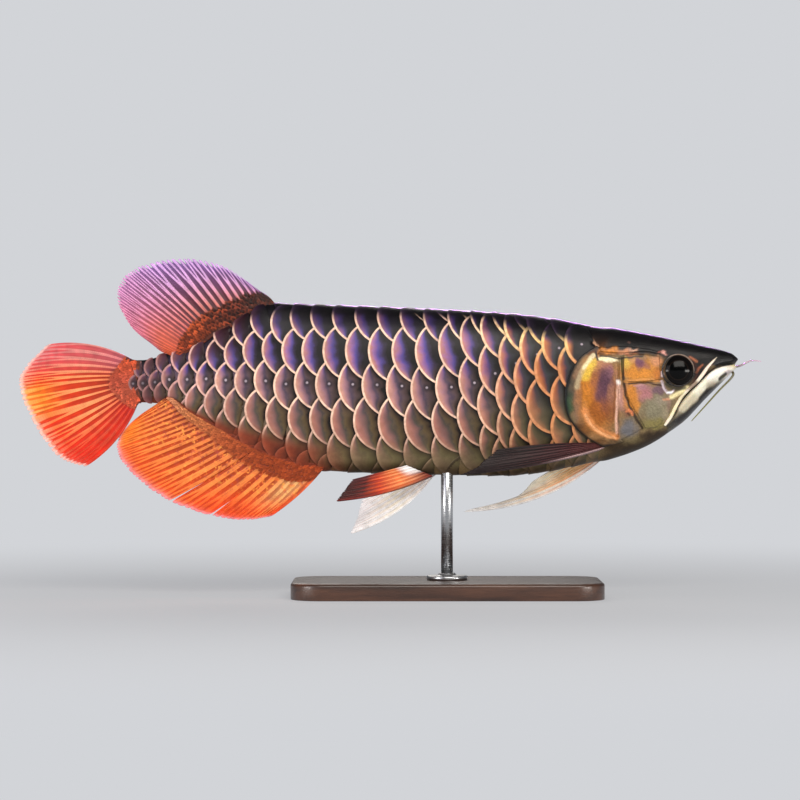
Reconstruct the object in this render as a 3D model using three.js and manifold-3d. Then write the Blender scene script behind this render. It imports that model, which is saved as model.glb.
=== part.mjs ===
// A life-size Asian arowana swimming level on a plain display stand: one rod, a collar and a flat base.
// Millimetres. +X runs to the snout, +Z up, the fish's right side faces -Y.
// The origin is the middle of the base's underside, below the rod.
import * as THREE from "three";
import { mergeVertices } from "three/addons/utils/BufferGeometryUtils.js";
import Module from "manifold-3d";

const wasm = await Module();
wasm.setup();

// Driving dimensions of the fish: tip of the jaw, end of the tail stalk, and how round those ends are.
const SNOUT_X = 245;
const SNOUT_ROUND = 7;
const STALK_X = -277;
const STALK_ROUND = 5;
const SURFACE_GAP = 0.3;
const PLATE_SHARE = 0.88;

// Outlines of the scaled body and the head, as [x, value] pairs with a smooth curve through them.
const backHeight = smooth([
  [-277, 200], [-255, 200.5], [-232, 207.5], [-186, 230], [-150, 247.5], [-123, 246.5],
  [-39, 243.4], [44, 238.8], [128, 227.8], [212, 211.5], [237, 205.4], [245, 201.5],
]);
const bellyHeight = smooth([
  [-277, 160], [-257, 161], [-238, 159.5], [-204, 139], [-178, 125], [-148, 112.5], [-120, 105.5],
  [-81, 102.4], [0, 100], [45, 99.5], [78, 102], [107, 107.4], [130, 112.5], [162, 123], [179, 132],
  [195, 144.5], [217, 167.4], [229, 179.4], [238, 188.4], [245, 195.5],
]);
const halfWidth = smooth([
  [-277, 3.2], [-255, 5], [-232, 7.8], [-205, 11.5], [-165, 17.5], [-120, 22.5], [-60, 26.5],
  [0, 28.5], [50, 29], [100, 28.8], [130, 28.2], [160, 26.6], [185, 24], [205, 21.6], [222, 18.4],
  [235, 13.5], [245, 8.5],
]);
// Where the body is widest, as a share of its height above the belly line.
const widestShare = smooth([[-277, 0.5], [-150, 0.56], [0, 0.58], [120, 0.55], [200, 0.6], [245, 0.6]]);
// Superellipse powers: 2 is an ellipse, more is squarer. The back is broad and the skull flat on top.
const backPower = smooth([[-277, 2], [-150, 2.1], [0, 2.5], [120, 2.7], [190, 3.3], [245, 3]]);
const bellyPower = smooth([[-277, 2], [-120, 1.9], [40, 1.75], [120, 1.85], [200, 1.9], [245, 2.2]]);

// Mesh steps of the body along its length and around it.
const BODY_STEPS = 40;
const BODY_AROUND = 26;
const END_CROWDING = 0.65;

const TAIL_CUT_X = -195;

// The eye, a flattened ball set in the side of the head.
const EYE_X = 192;
const EYE_Z = 189.5;
const EYE_RADIUS = 12.8;
const EYE_DEPTH = 8;
const EYE_PROUD = 3;

// The stand.
const BASE_LENGTH = 260;
const BASE_WIDTH = 124;
const BASE_THICK = 14;
const BASE_CORNER = 26;
const BASE_CHAMFER = 1.5;
const COLLAR_RADIUS = 17;
const COLLAR_THICK = 4;
const ROD_RADIUS = 5;
const ROD_TOP = 112;

const COLOURS = {
  skin: [0x4a4048, 0.45, 0.25],
  bone: [0xb98a52, 0.4, 0.25],
  jaw: [0xd9d2c4, 0.45, 0],
  fin: [0xd2603a, 0.5, 0],
  paleFin: [0xe9c9a6, 0.5, 0],
  lilacFin: [0xc9a0c0, 0.5, 0],
  eye: [0x0c0c0e, 0.08, 0],
  wood: [0x3b2a20, 0.5, 0],
  steel: [0xb8bcc0, 0.3, 1],
};

// Monotone cubic curve through [x, value] pairs, which never overshoots them.
function smooth(points) {
  const n = points.length;
  const step = [];
  const slope = [];
  for (let i = 0; i < n - 1; i++) {
    step.push(points[i + 1][0] - points[i][0]);
    slope.push((points[i + 1][1] - points[i][1]) / step[i]);
  }
  const tangent = [slope[0]];
  for (let i = 1; i < n - 1; i++) {
    const [a, b] = [slope[i - 1], slope[i]];
    const [u, v] = [2 * step[i] + step[i - 1], step[i] + 2 * step[i - 1]];
    tangent.push(a * b > 0 ? (u + v) / (u / a + v / b) : 0);
  }
  tangent.push(slope[n - 2]);
  return (x) => {
    const at = Math.min(Math.max(x, points[0][0]), points[n - 1][0]);
    let i = 0;
    while (i < n - 2 && at > points[i + 1][0]) i++;
    const t = (at - points[i][0]) / step[i];
    const [y0, y1] = [points[i][1], points[i + 1][1]];
    return (
      y0 * (1 + 2 * t) * (1 - t) ** 2 +
      tangent[i] * step[i] * t * (1 - t) ** 2 +
      y1 * t * t * (3 - 2 * t) +
      tangent[i + 1] * step[i] * t * t * (t - 1)
    );
  };
}

// The height, half width and powers of the body's cross-section at x. The two ends close in a quarter round.
function sectionAt(x, grow = 0) {
  const past = Math.max(0, (x - SNOUT_X + SNOUT_ROUND) / SNOUT_ROUND, (STALK_X + STALK_ROUND - x) / STALK_ROUND);
  const close = Math.sqrt(Math.max(0, 1 - past * past));
  const [top, bottom] = [backHeight(x), bellyHeight(x)];
  const wideZ = bottom + widestShare(x) * (top - bottom);
  return {
    wideZ,
    up: (top - wideZ) * close + grow,
    down: (wideZ - bottom) * close + grow,
    half: halfWidth(x) * close + grow,
    upPower: backPower(x),
    downPower: bellyPower(x),
  };
}

// How far the flank stands from the middle plane at a place seen from the side.
function flankY(x, z) {
  const s = sectionAt(x);
  const above = z > s.wideZ;
  const share = Math.abs(z - s.wideZ) / (above ? s.up : s.down);
  const power = above ? s.upPower : s.downPower;
  return s.half * Math.max(0, 1 - share ** power) ** (1 / power);
}

// A manifold-3d solid from a geometry's positions, and a geometry back from a solid.
function solidOf(geometry) {
  const bare = new THREE.BufferGeometry();
  bare.setAttribute("position", geometry.getAttribute("position"));
  if (geometry.index) bare.setIndex(geometry.index);
  const merged = mergeVertices(bare, 1e-3);
  return new wasm.Manifold(
    new wasm.Mesh({
      numProp: 3,
      vertProperties: new Float32Array(merged.attributes.position.array),
      triVerts: new Uint32Array(merged.index.array),
    }),
  );
}

function geometryOf(solid) {
  const mesh = solid.getMesh();
  const geometry = new THREE.BufferGeometry();
  geometry.setAttribute("position", new THREE.BufferAttribute(new Float32Array(mesh.vertProperties), 3));
  geometry.setIndex(new THREE.BufferAttribute(new Uint32Array(mesh.triVerts), 1));
  geometry.computeVertexNormals();
  return geometry;
}

// The whole body as one loft of superellipse rings between two end points. grow moves its skin outwards.
function bodySolid(grow = 0) {
  const positions = [];
  const index = [];
  const [first, last] = [STALK_X - grow, SNOUT_X + grow];
  for (let i = 0; i <= BODY_STEPS; i++) {
    const share = i / BODY_STEPS;
    const eased = share - (END_CROWDING * Math.sin(2 * Math.PI * share)) / (2 * Math.PI);
    const x = first + (last - first) * eased;
    const s = sectionAt(STALK_X + (SNOUT_X - STALK_X) * eased, grow);
    if (i === 0 || i === BODY_STEPS) {
      positions.push(x, 0, s.wideZ);
      continue;
    }
    for (let k = 0; k < BODY_AROUND; k++) {
      const a = (2 * Math.PI * k) / BODY_AROUND;
      const [across, along] = [Math.sin(a), Math.cos(a)];
      const power = along > 0 ? s.upPower : s.downPower;
      const reach = along > 0 ? s.up : s.down;
      positions.push(
        x,
        s.half * Math.sign(across) * Math.abs(across) ** (2 / power),
        s.wideZ + reach * Math.sign(along) * Math.abs(along) ** (2 / power),
      );
    }
  }
  const lastPoint = positions.length / 3 - 1;
  const ringStart = (i) => 1 + (i - 1) * BODY_AROUND;
  for (let k = 0; k < BODY_AROUND; k++) {
    const next = (k + 1) % BODY_AROUND;
    index.push(0, ringStart(1) + k, ringStart(1) + next);
    index.push(lastPoint, ringStart(BODY_STEPS - 1) + next, ringStart(BODY_STEPS - 1) + k);
    for (let i = 1; i < BODY_STEPS - 1; i++) {
      const [a, b] = [ringStart(i) + k, ringStart(i) + next];
      const [c, d] = [ringStart(i + 1) + k, ringStart(i + 1) + next];
      index.push(a, c, b, b, c, d);
    }
  }
  const geometry = new THREE.BufferGeometry();
  geometry.setAttribute("position", new THREE.Float32BufferAttribute(positions, 3));
  geometry.setIndex(index);
  return solidOf(geometry);
}

// A closed side-view outline moved outwards (or, with a negative distance, inwards) along its corners' normals.
function offsetOutline(points, distance) {
  const n = points.length;
  const area = points.reduce((sum, [x, z], i) => {
    const [nextX, nextZ] = points[(i + 1) % n];
    return sum + (x * nextZ - nextX * z) / 2;
  }, 0);
  return points.map(([x, z], i) => {
    const [[fromX, fromZ], [toX, toZ]] = [points[(i + n - 1) % n], points[(i + 1) % n]];
    const before = new THREE.Vector2(x - fromX, z - fromZ).normalize();
    const after = new THREE.Vector2(toX - x, toZ - z).normalize();
    const along = before.add(after).normalize();
    const out = (Math.sign(area) * distance) / Math.max(0.5, along.dot(after));
    return [x + along.y * out, z - along.x * out];
  });
}

// A side-view outline of [x, z] points, a curve through the first `curved` of them and straight lines after, as a
// block running from one Y to another.
function sideBlock(points, curved, fromY, toY) {
  const [start, ...rest] = points.map(([x, z]) => new THREE.Vector2(x, z));
  const shape = new THREE.Shape().moveTo(start.x, start.y);
  if (curved > 1) shape.splineThru(rest.slice(0, curved - 1));
  for (const p of rest.slice(Math.max(0, curved - 1))) shape.lineTo(p.x, p.y);
  const geometry = new THREE.ExtrudeGeometry(shape, { depth: toY - fromY, bevelEnabled: false, curveSegments: 2 });
  geometry.rotateX(Math.PI / 2);
  geometry.translate(0, toY, 0);
  return solidOf(geometry);
}

// A thin solid over a grid: middle(u, v) is its middle surface, half(u, v) its half thickness, along one direction.
function sheetSolid(stepsU, stepsV, middle, half, direction) {
  const positions = [];
  const index = [];
  const row = stepsV + 1;
  const face = (stepsU + 1) * row;
  for (const side of [1, -1])
    for (let i = 0; i <= stepsU; i++)
      for (let j = 0; j <= stepsV; j++) {
        const [u, v] = [i / stepsU, j / stepsV];
        const p = middle(u, v).addScaledVector(direction, side * half(u, v));
        positions.push(p.x, p.y, p.z);
      }
  const at = (side, i, j) => side * face + i * row + j;
  const quad = (a, b, c, d) => index.push(a, b, c, a, c, d);
  for (let i = 0; i < stepsU; i++)
    for (let j = 0; j < stepsV; j++) {
      quad(at(0, i, j), at(0, i + 1, j), at(0, i + 1, j + 1), at(0, i, j + 1));
      quad(at(1, i, j), at(1, i, j + 1), at(1, i + 1, j + 1), at(1, i + 1, j));
    }
  for (let i = 0; i < stepsU; i++) {
    quad(at(0, i, 0), at(1, i, 0), at(1, i + 1, 0), at(0, i + 1, 0));
    quad(at(0, i, stepsV), at(0, i + 1, stepsV), at(1, i + 1, stepsV), at(1, i, stepsV));
  }
  for (let j = 0; j < stepsV; j++) {
    quad(at(0, 0, j), at(0, 0, j + 1), at(1, 0, j + 1), at(1, 0, j));
    quad(at(0, stepsU, j), at(1, stepsU, j), at(1, stepsU, j + 1), at(0, stepsU, j + 1));
  }
  const geometry = new THREE.BufferGeometry();
  geometry.setAttribute("position", new THREE.Float32BufferAttribute(positions, 3));
  geometry.setIndex(index);
  const made = solidOf(geometry);
  return made.volume() > 0 ? made : flipped(geometry);
}

function flipped(geometry) {
  const index = [...geometry.index.array];
  for (let i = 0; i < index.length; i += 3) [index[i + 1], index[i + 2]] = [index[i + 2], index[i + 1]];
  geometry.setIndex(index);
  return solidOf(geometry);
}

// A fin of rays. Its spec has the rays' roots and tips, front to back, each [x, y, z]; bow, how far the first
// and the last ray curve outwards; the root's and the tip's half thickness; how many rays; and notch, the
// share of a ray by which the web between two rays falls short of their tips.
function finSolid(fin) {
  const roots = new THREE.CatmullRomCurve3(fin.roots.map((p) => new THREE.Vector3(...p)));
  const tips = new THREE.CatmullRomCurve3(fin.tips.map((p) => new THREE.Vector3(...p)));
  const facing = new THREE.Vector3(...fin.facing).normalize();
  const isWeb = (u) => Math.round(u * fin.rays * 2) % 2;
  const middle = (u, v) => {
    const root = roots.getPoint(u);
    const tip = tips.getPoint(u);
    const along = v * (1 - fin.notch * isWeb(u));
    const ray = tip.clone().sub(root);
    const outwards = new THREE.Vector3().crossVectors(facing, ray).normalize();
    const bow = fin.bow[0] * (1 - u) ** 2 + fin.bow[1] * u * u;
    return root.addScaledVector(ray, along).addScaledVector(outwards, 4 * bow * along * (1 - along));
  };
  const half = (u, v) => {
    const thick = fin.tipHalf + (fin.rootHalf - fin.tipHalf) * (1 - v) ** fin.taper;
    return isWeb(u) ? Math.max(fin.tipHalf, thick * fin.webShare) : thick;
  };
  return sheetSolid(fin.rays * 2, fin.stepsOut, middle, half, facing);
}

const flat = (points) => points.map(([x, z]) => [x, 0, z]);

const DORSAL = {
  roots: flat([[-150, 243], [-166, 240], [-184, 232], [-199, 224], [-209, 217], [-219, 211], [-228, 206], [-234, 203.5]]),
  tips: flat([[-155.5, 255.5], [-186.5, 276.8], [-220.7, 283.8], [-254.8, 278.2], [-272.5, 266.5], [-276.3, 248.3],
    [-264.4, 225.8], [-245, 209.8]]),
  facing: [0, 1, 0],
  rays: 15,
  stepsOut: 3,
  bow: [1.5, -1],
  rootHalf: 5.5,
  tipHalf: 0.35,
  taper: 2.2,
  webShare: 0.8,
  notch: 0.05,
};

const ANAL = {
  roots: flat([[-103, 108], [-122, 108], [-142, 114], [-162, 121], [-178, 129], [-193, 138], [-208, 146],
    [-222, 154], [-234, 162.5], [-240, 164]]),
  tips: flat([[-148, 67], [-170, 64.4], [-198, 68], [-230, 78.8], [-251, 91.8], [-268, 107.5], [-276.5, 121],
    [-275.5, 133.5], [-267, 144.3], [-256, 153.5]]),
  facing: [0, 1, 0],
  rays: 17,
  stepsOut: 3,
  bow: [-2.5, 0],
  rootHalf: 6.5,
  tipHalf: 0.35,
  taper: 2,
  webShare: 0.8,
  notch: 0.025,
};

const CAUDAL = {
  roots: flat([[-268, 198.5], [-269, 189], [-270, 182], [-269, 175], [-268, 169], [-262, 160]]),
  tips: flat([[-336, 211.5], [-356.5, 189], [-357.5, 170], [-343, 138.5], [-325, 116.5], [-303.5, 108.8]]),
  facing: [0, 1, 0],
  rays: 12,
  stepsOut: 4,
  bow: [6.5, -5.5],
  rootHalf: 2.6,
  tipHalf: 0.35,
  taper: 1.5,
  webShare: 0.75,
  notch: 0.03,
};

// The right pectoral is folded back along the belly, and the left one is lowered.
const PECTORAL_RIGHT = {
  roots: [[129, -13, 124], [127, -15, 126.5], [124, -17, 128.5]],
  tips: [[9, -47, 103], [22, -44, 108.5], [31, -40, 116], [41, -35, 124]],
  facing: [-0.22, -0.9, 0.36],
  rays: 4,
  stepsOut: 6,
  bow: [3.5, -2],
  rootHalf: 1.8,
  tipHalf: 0.35,
  taper: 1.3,
  webShare: 0.7,
  notch: 0.02,
};
const PECTORAL_LEFT = {
  roots: [[137, 13, 122], [134, 15, 124], [131, 17, 126]],
  tips: [[13.5, 47, 71.5], [44, 44, 77.5], [62, 39, 87], [73, 33, 99]],
  facing: [-0.3, 0.92, 0.25],
  rays: 4,
  stepsOut: 6,
  bow: [-15.5, 2],
  rootHalf: 1.8,
  tipHalf: 0.35,
  taper: 1.3,
  webShare: 0.7,
  notch: 0.02,
};
const PELVIC_RIGHT = {
  roots: [[-17, -5, 104], [-21, -7, 105.5], [-25, -9, 107.5]],
  tips: [[-93, -30, 80.6], [-86, -28, 88], [-77, -25, 95.5]],
  facing: [-0.25, -0.9, 0.36],
  rays: 4,
  stepsOut: 4,
  bow: [4, 0],
  rootHalf: 1.8,
  tipHalf: 0.35,
  taper: 1.3,
  webShare: 0.7,
  notch: 0.02,
};
const PELVIC_LEFT = {
  roots: [[-13, 5, 103], [-18, 7, 105], [-23, 8, 106.5]],
  tips: [[-82, 20, 53.2], [-75.5, 19, 66], [-72, 18, 80]],
  facing: [-0.2, 0.95, 0.24],
  rays: 4,
  stepsOut: 4,
  bow: [-8, 0],
  rootHalf: 1.8,
  tipHalf: 0.35,
  taper: 1.3,
  webShare: 0.7,
  notch: 0.02,
};

// Side-view lines that part the head: the gill opening, the gill cover, the mouth and the upper jaw's strip.
const GILL_LINE = [
  [132, 236], [124.5, 211], [121.6, 207], [109, 194.4], [99.6, 181], [97.1, 164], [98.8, 148.7],
  [104.7, 139.6], [117.5, 131], [126, 127.5], [124, 100], [260, 95], [260, 240],
];
const GILL_COVER = [
  [122.5, 205.7], [110, 193.8], [100.8, 180.7], [98.3, 164], [100, 149], [105.6, 140.6], [118, 132.1],
  [141.5, 130], [141, 182], [139, 202.5],
];
const MOUTH_LINE = [
  [250, 198.4], [235.5, 195.5], [228, 192.6], [220, 186.4], [209, 176.2], [199, 165.7], [192.2, 156],
  [185.5, 142], [187, 120], [255, 120],
];
const MAXILLA = [
  [185, 146], [190, 157], [197, 166.5], [207, 177.4], [218, 187.8], [227.8, 196], [229.3, 199.3],
  [226.5, 200.8], [211.5, 188.4], [199.5, 175.4], [190, 162], [184, 150],
];

// The right barbel trails back under the chin, and the left one reaches forwards.
const BARBEL_RADIUS = 0.9;
const BARBEL_SIDES = 6;
const BARBEL_STEPS = 10;
const BARBELS = {
  barbel_right: [[238, -4, 190], [238, -7.5, 184], [227, -9.5, 172.5], [213, -10, 157], [204, -9, 147]],
  barbel_left: [[240, 4, 192.5], [247, 5.5, 194], [256, 7, 198], [265, 8.5, 197.5]],
};

const EAST = 300;
const sides = { right: -1, left: 1 };
const parts = {};

const body = bodySolid();
const grownBody = bodySolid(SURFACE_GAP);
const innerBody = body.scale([1, PLATE_SHARE, 1]);
const innerGap = body.scale([1, PLATE_SHARE - SURFACE_GAP / halfWidth(150), 1]);

const headBlock = sideBlock(GILL_LINE, 10, -EAST, EAST);
const headAndGap = sideBlock(offsetOutline(GILL_LINE, SURFACE_GAP), 10, -EAST, EAST);
const tailEnd = solidOf(new THREE.BoxGeometry(EAST, EAST, EAST).translate(TAIL_CUT_X - EAST / 2, 0, 150));
const tailAndGap = tailEnd.translate([SURFACE_GAP, 0, 0]);

// The trunk has a blind socket for the rod.
const rodSocket = solidOf(
  new THREE.CylinderGeometry(ROD_RADIUS + SURFACE_GAP, ROD_RADIUS + SURFACE_GAP, ROD_TOP + SURFACE_GAP, 24)
    .rotateX(Math.PI / 2)
    .translate(0, 0, (ROD_TOP + SURFACE_GAP) / 2),
);
parts.trunk = [body.subtract(headAndGap).subtract(tailAndGap).subtract(rodSocket), "skin"];
parts.tail = [body.intersect(tailEnd), "skin"];

// The head, less its gill covers, upper jaw strips, lower jaw and eyes.
let head = body.intersect(headBlock);
const jawBlock = sideBlock(MOUTH_LINE, 8, -EAST, EAST);
const jawAndGap = sideBlock(offsetOutline(MOUTH_LINE, SURFACE_GAP), 8, -EAST, EAST);
parts.lower_jaw = [head.intersect(jawBlock), "jaw"];
head = head.subtract(jawAndGap);
// A plate of the head's own surface: the body inside a side outline, outside the shrunken body. Its seat in the
// head is a little larger all round.
function plateSolids(outline, curved, side) {
  const [near, far] = side < 0 ? [-EAST, -1] : [1, EAST];
  const block = sideBlock(outline, curved, near, far);
  const blockAndGap = sideBlock(offsetOutline(outline, SURFACE_GAP), curved, near, far);
  return { plate: body.intersect(block).subtract(innerBody), seat: blockAndGap.subtract(innerGap) };
}

for (const [name, side] of Object.entries(sides)) {
  const cover = plateSolids(GILL_COVER, 7, side);
  parts["gill_cover_" + name] = [cover.plate.intersect(headBlock), "bone"];
  head = head.subtract(cover.seat);
  const strip = plateSolids(MAXILLA, 6, side);
  parts["upper_jaw_" + name] = [strip.plate.subtract(jawAndGap), "jaw"];
  head = head.subtract(strip.seat);

  const eyeAt = [EYE_X, side * (flankY(EYE_X, EYE_Z) - EYE_DEPTH + EYE_PROUD), EYE_Z];
  const eyeBall = (grow) =>
    new THREE.SphereGeometry(1, 16, 8)
      .scale(EYE_RADIUS + grow, EYE_DEPTH + grow, EYE_RADIUS + grow)
      .translate(...eyeAt);
  parts["eye_" + name] = [solidOf(eyeBall(0)), "eye"];
  head = head.subtract(solidOf(eyeBall(SURFACE_GAP)));
}
parts.head = [head, "bone"];

// The fins, each cut where it enters the body.
const fins = {
  dorsal_fin: [DORSAL, "lilacFin"],
  anal_fin: [ANAL, "fin"],
  caudal_fin: [CAUDAL, "fin"],
  pectoral_fin_right: [PECTORAL_RIGHT, "skin"],
  pectoral_fin_left: [PECTORAL_LEFT, "paleFin"],
  pelvic_fin_right: [PELVIC_RIGHT, "fin"],
  pelvic_fin_left: [PELVIC_LEFT, "paleFin"],
};
for (const [name, [spec, colour]] of Object.entries(fins))
  parts[name] = [finSolid(spec).subtract(grownBody), colour];

for (const [name, points] of Object.entries(BARBELS)) {
  const path = new THREE.CatmullRomCurve3(points.map((p) => new THREE.Vector3(...p)));
  const round = new THREE.Shape();
  for (let k = 0; k < BARBEL_SIDES; k++) {
    const a = (2 * Math.PI * k) / BARBEL_SIDES;
    const [x, y] = [BARBEL_RADIUS * Math.cos(a), BARBEL_RADIUS * Math.sin(a)];
    if (k) round.lineTo(x, y);
    else round.moveTo(x, y);
  }
  const tube = new THREE.ExtrudeGeometry(round, { steps: BARBEL_STEPS, extrudePath: path, bevelEnabled: false });
  parts[name] = [solidOf(tube).subtract(grownBody), "jaw"];
}

// The stand: a flat base with rounded corners, a collar on it, and the rod up into the belly.
const plan = new THREE.Shape();
const [cornerX, cornerY] = [BASE_LENGTH / 2 - BASE_CORNER - BASE_CHAMFER, BASE_WIDTH / 2 - BASE_CORNER - BASE_CHAMFER];
plan.absarc(cornerX, cornerY, BASE_CORNER, 0, Math.PI / 2, false);
plan.absarc(-cornerX, cornerY, BASE_CORNER, Math.PI / 2, Math.PI, false);
plan.absarc(-cornerX, -cornerY, BASE_CORNER, Math.PI, 1.5 * Math.PI, false);
plan.absarc(cornerX, -cornerY, BASE_CORNER, 1.5 * Math.PI, 2 * Math.PI, false);
const baseGeometry = new THREE.ExtrudeGeometry(plan, {
  depth: BASE_THICK - 2 * BASE_CHAMFER,
  bevelThickness: BASE_CHAMFER,
  bevelSize: BASE_CHAMFER,
  bevelSegments: 1,
  curveSegments: 4,
}).translate(0, 0, BASE_CHAMFER);
parts.stand_base = [solidOf(baseGeometry), "wood"];
const upright = (radius, bottom, top) =>
  new THREE.CylinderGeometry(radius, radius, top - bottom, 24).rotateX(Math.PI / 2).translate(0, 0, (top + bottom) / 2);
parts.stand_collar = [solidOf(upright(COLLAR_RADIUS, BASE_THICK, BASE_THICK + COLLAR_THICK)), "steel"];
parts.stand_rod = [solidOf(upright(ROD_RADIUS, BASE_THICK + COLLAR_THICK, ROD_TOP)), "steel"];

const arowana = new THREE.Group();
for (const [name, [solid, colour]] of Object.entries(parts)) {
  const [color, roughness, metalness] = COLOURS[colour];
  const mesh = new THREE.Mesh(geometryOf(solid), new THREE.MeshStandardMaterial({ color, roughness, metalness }));
  mesh.name = name;
  arowana.add(mesh);
}

export default arowana;
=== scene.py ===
import bmesh
import bpy
import numpy as np
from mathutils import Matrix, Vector


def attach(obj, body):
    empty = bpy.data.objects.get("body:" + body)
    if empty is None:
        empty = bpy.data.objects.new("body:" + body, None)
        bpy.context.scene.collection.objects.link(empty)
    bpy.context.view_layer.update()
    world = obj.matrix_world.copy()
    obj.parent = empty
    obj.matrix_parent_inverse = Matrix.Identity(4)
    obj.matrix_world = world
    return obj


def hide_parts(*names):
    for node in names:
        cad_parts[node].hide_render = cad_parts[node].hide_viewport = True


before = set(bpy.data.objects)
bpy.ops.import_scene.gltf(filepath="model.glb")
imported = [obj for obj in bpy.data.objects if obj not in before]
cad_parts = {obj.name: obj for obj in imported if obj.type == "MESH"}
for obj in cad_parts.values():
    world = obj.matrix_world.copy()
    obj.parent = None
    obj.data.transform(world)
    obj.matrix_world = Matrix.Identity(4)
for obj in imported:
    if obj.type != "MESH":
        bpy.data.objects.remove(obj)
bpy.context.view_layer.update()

# The skin: one thin wet sheet over the muscle, from the lips to the root of the tail fin. It is black along
# the back, mauve on the flank, olive under the belly, and gold, purple and grey-green on the cheeks. It
# lies a scale's depth inside the solids, and rises to their surface on the bare head.
MM = 0.001
SNOUT_X = 245
SNOUT_ROUND = 7
STALK_X = -277
STALK_ROUND = 5
SCALE_DEPTH = 2.1
BARE_DEPTH = 0.7


def smooth(points):
    """A curve through [x, value] pairs, in cubic pieces. The slope at each point is the harmonic mean of
    the two chords' slopes beside it, and nought where they differ in sign, so the curve never
    overshoots."""
    x, y = np.array(points, float).T
    step = np.diff(x)
    chord = np.diff(y) / step
    before, after = chord[:-1], chord[1:]
    left, right = 2 * step[1:] + step[:-1], step[1:] + 2 * step[:-1]
    same = before * after > 0
    mean = (left + right) / (left / np.where(same, before, 1) + right / np.where(same, after, 1))
    slope = np.concatenate([chord[:1], np.where(same, mean, 0), chord[-1:]])

    def curve(at):
        at = np.clip(at, x[0], x[-1])
        i = np.clip(np.searchsorted(x, at, side="right") - 1, 0, len(x) - 2)
        t = (at - x[i]) / step[i]
        return (
            y[i] * (1 + 2 * t) * (1 - t) ** 2
            + slope[i] * step[i] * t * (1 - t) ** 2
            + y[i + 1] * t * t * (3 - 2 * t)
            + slope[i + 1] * step[i] * t * t * (t - 1)
        )

    return curve


back_height = smooth([
    [-277, 200], [-255, 200.5], [-232, 207.5], [-186, 230], [-150, 247.5], [-123, 246.5],
    [-39, 243.4], [44, 238.8], [128, 227.8], [212, 211.5], [237, 205.4], [245, 201.5],
])
belly_height = smooth([
    [-277, 160], [-257, 161], [-238, 159.5], [-204, 139], [-178, 125], [-148, 112.5], [-120, 105.5],
    [-81, 102.4], [0, 100], [45, 99.5], [78, 102], [107, 107.4], [130, 112.5], [162, 123], [179, 132],
    [195, 144.5], [217, 167.4], [229, 179.4], [238, 188.4], [245, 195.5],
])
half_width = smooth([
    [-277, 3.2], [-255, 5], [-232, 7.8], [-205, 11.5], [-165, 17.5], [-120, 22.5], [-60, 26.5],
    [0, 28.5], [50, 29], [100, 28.8], [130, 28.2], [160, 26.6], [185, 24], [205, 21.6], [222, 18.4],
    [235, 13.5], [245, 8.5],
])
widest_share = smooth([[-277, 0.5], [-150, 0.56], [0, 0.58], [120, 0.55], [200, 0.6], [245, 0.6]])
back_power = smooth([[-277, 2], [-150, 2.1], [0, 2.5], [120, 2.7], [190, 3.3], [245, 3]])
belly_power = smooth([[-277, 2], [-120, 1.9], [40, 1.75], [120, 1.85], [200, 1.9], [245, 2.2]])

STATIONS = 620
ANGLES = 721
SHARES = 301
END_CROWDING = 0.8


def rings():
    """The body as superellipse rings: half width times a power of the sine across, reach times a power of
    the cosine up or down, both closing in a quarter round at the two ends. Gives the stations, each ring's
    half girth, and tables of position and outward normal at even shares of the girth, from the ridge to the
    keel."""
    even = np.linspace(0, 1, STATIONS)
    eased = even - END_CROWDING * np.sin(2 * np.pi * even) / (2 * np.pi)
    x = STALK_X + (SNOUT_X - STALK_X) * eased
    past = np.maximum((x - SNOUT_X + SNOUT_ROUND) / SNOUT_ROUND, (STALK_X + STALK_ROUND - x) / STALK_ROUND)
    close = np.sqrt(1 - np.clip(past, 0, 0.9999) ** 2)[:, None]
    top, bottom = back_height(x)[:, None], belly_height(x)[:, None]
    wide = bottom + widest_share(x)[:, None] * (top - bottom)
    angle = np.linspace(0, np.pi, ANGLES)[None, :]
    across, along = np.sin(angle), np.cos(angle)
    power = np.where(along > 0, back_power(x)[:, None], belly_power(x)[:, None])
    reach = np.where(along > 0, top - wide, wide - bottom) * close
    y = half_width(x)[:, None] * close * np.abs(across) ** (2 / power)
    z = wide + reach * np.sign(along) * np.abs(along) ** (2 / power)
    arc = np.cumsum(np.hypot(np.diff(y, prepend=y[:, :1]), np.diff(z, prepend=z[:, :1])), axis=1)
    share = arc / arc[:, -1:]
    even_share = np.linspace(0, 1, SHARES)
    place = np.zeros((STATIONS, SHARES, 3))
    for i in range(STATIONS):
        place[i, :, 0] = x[i]
        place[i, :, 1] = np.interp(even_share, share[i], y[i])
        place[i, :, 2] = np.interp(even_share, share[i], z[i])
    normal = np.cross(np.gradient(place, axis=0), np.gradient(place, axis=1))
    normal /= np.linalg.norm(normal, axis=2, keepdims=True) + 1e-9
    return x, arc[:, -1], place, normal


stations, girths, ring_place, ring_normal = rings()


def half_girth(x):
    """The distance over the skin from the ridge to the keel, round one side."""
    return np.interp(x, stations, girths)


def sampled(table, row, column):
    """The value of a grid table at a fractional row and column, blended evenly from the four entries
    around it."""
    i = np.clip(row.astype(int), 0, table.shape[0] - 2)
    j = np.clip(column.astype(int), 0, table.shape[1] - 2)
    s, t = (row - i)[..., None], (column - j)[..., None]
    low = table[i, j] * (1 - t) + table[i, j + 1] * t
    high = table[i + 1, j] * (1 - t) + table[i + 1, j + 1] * t
    return low * (1 - s) + high * s


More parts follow.
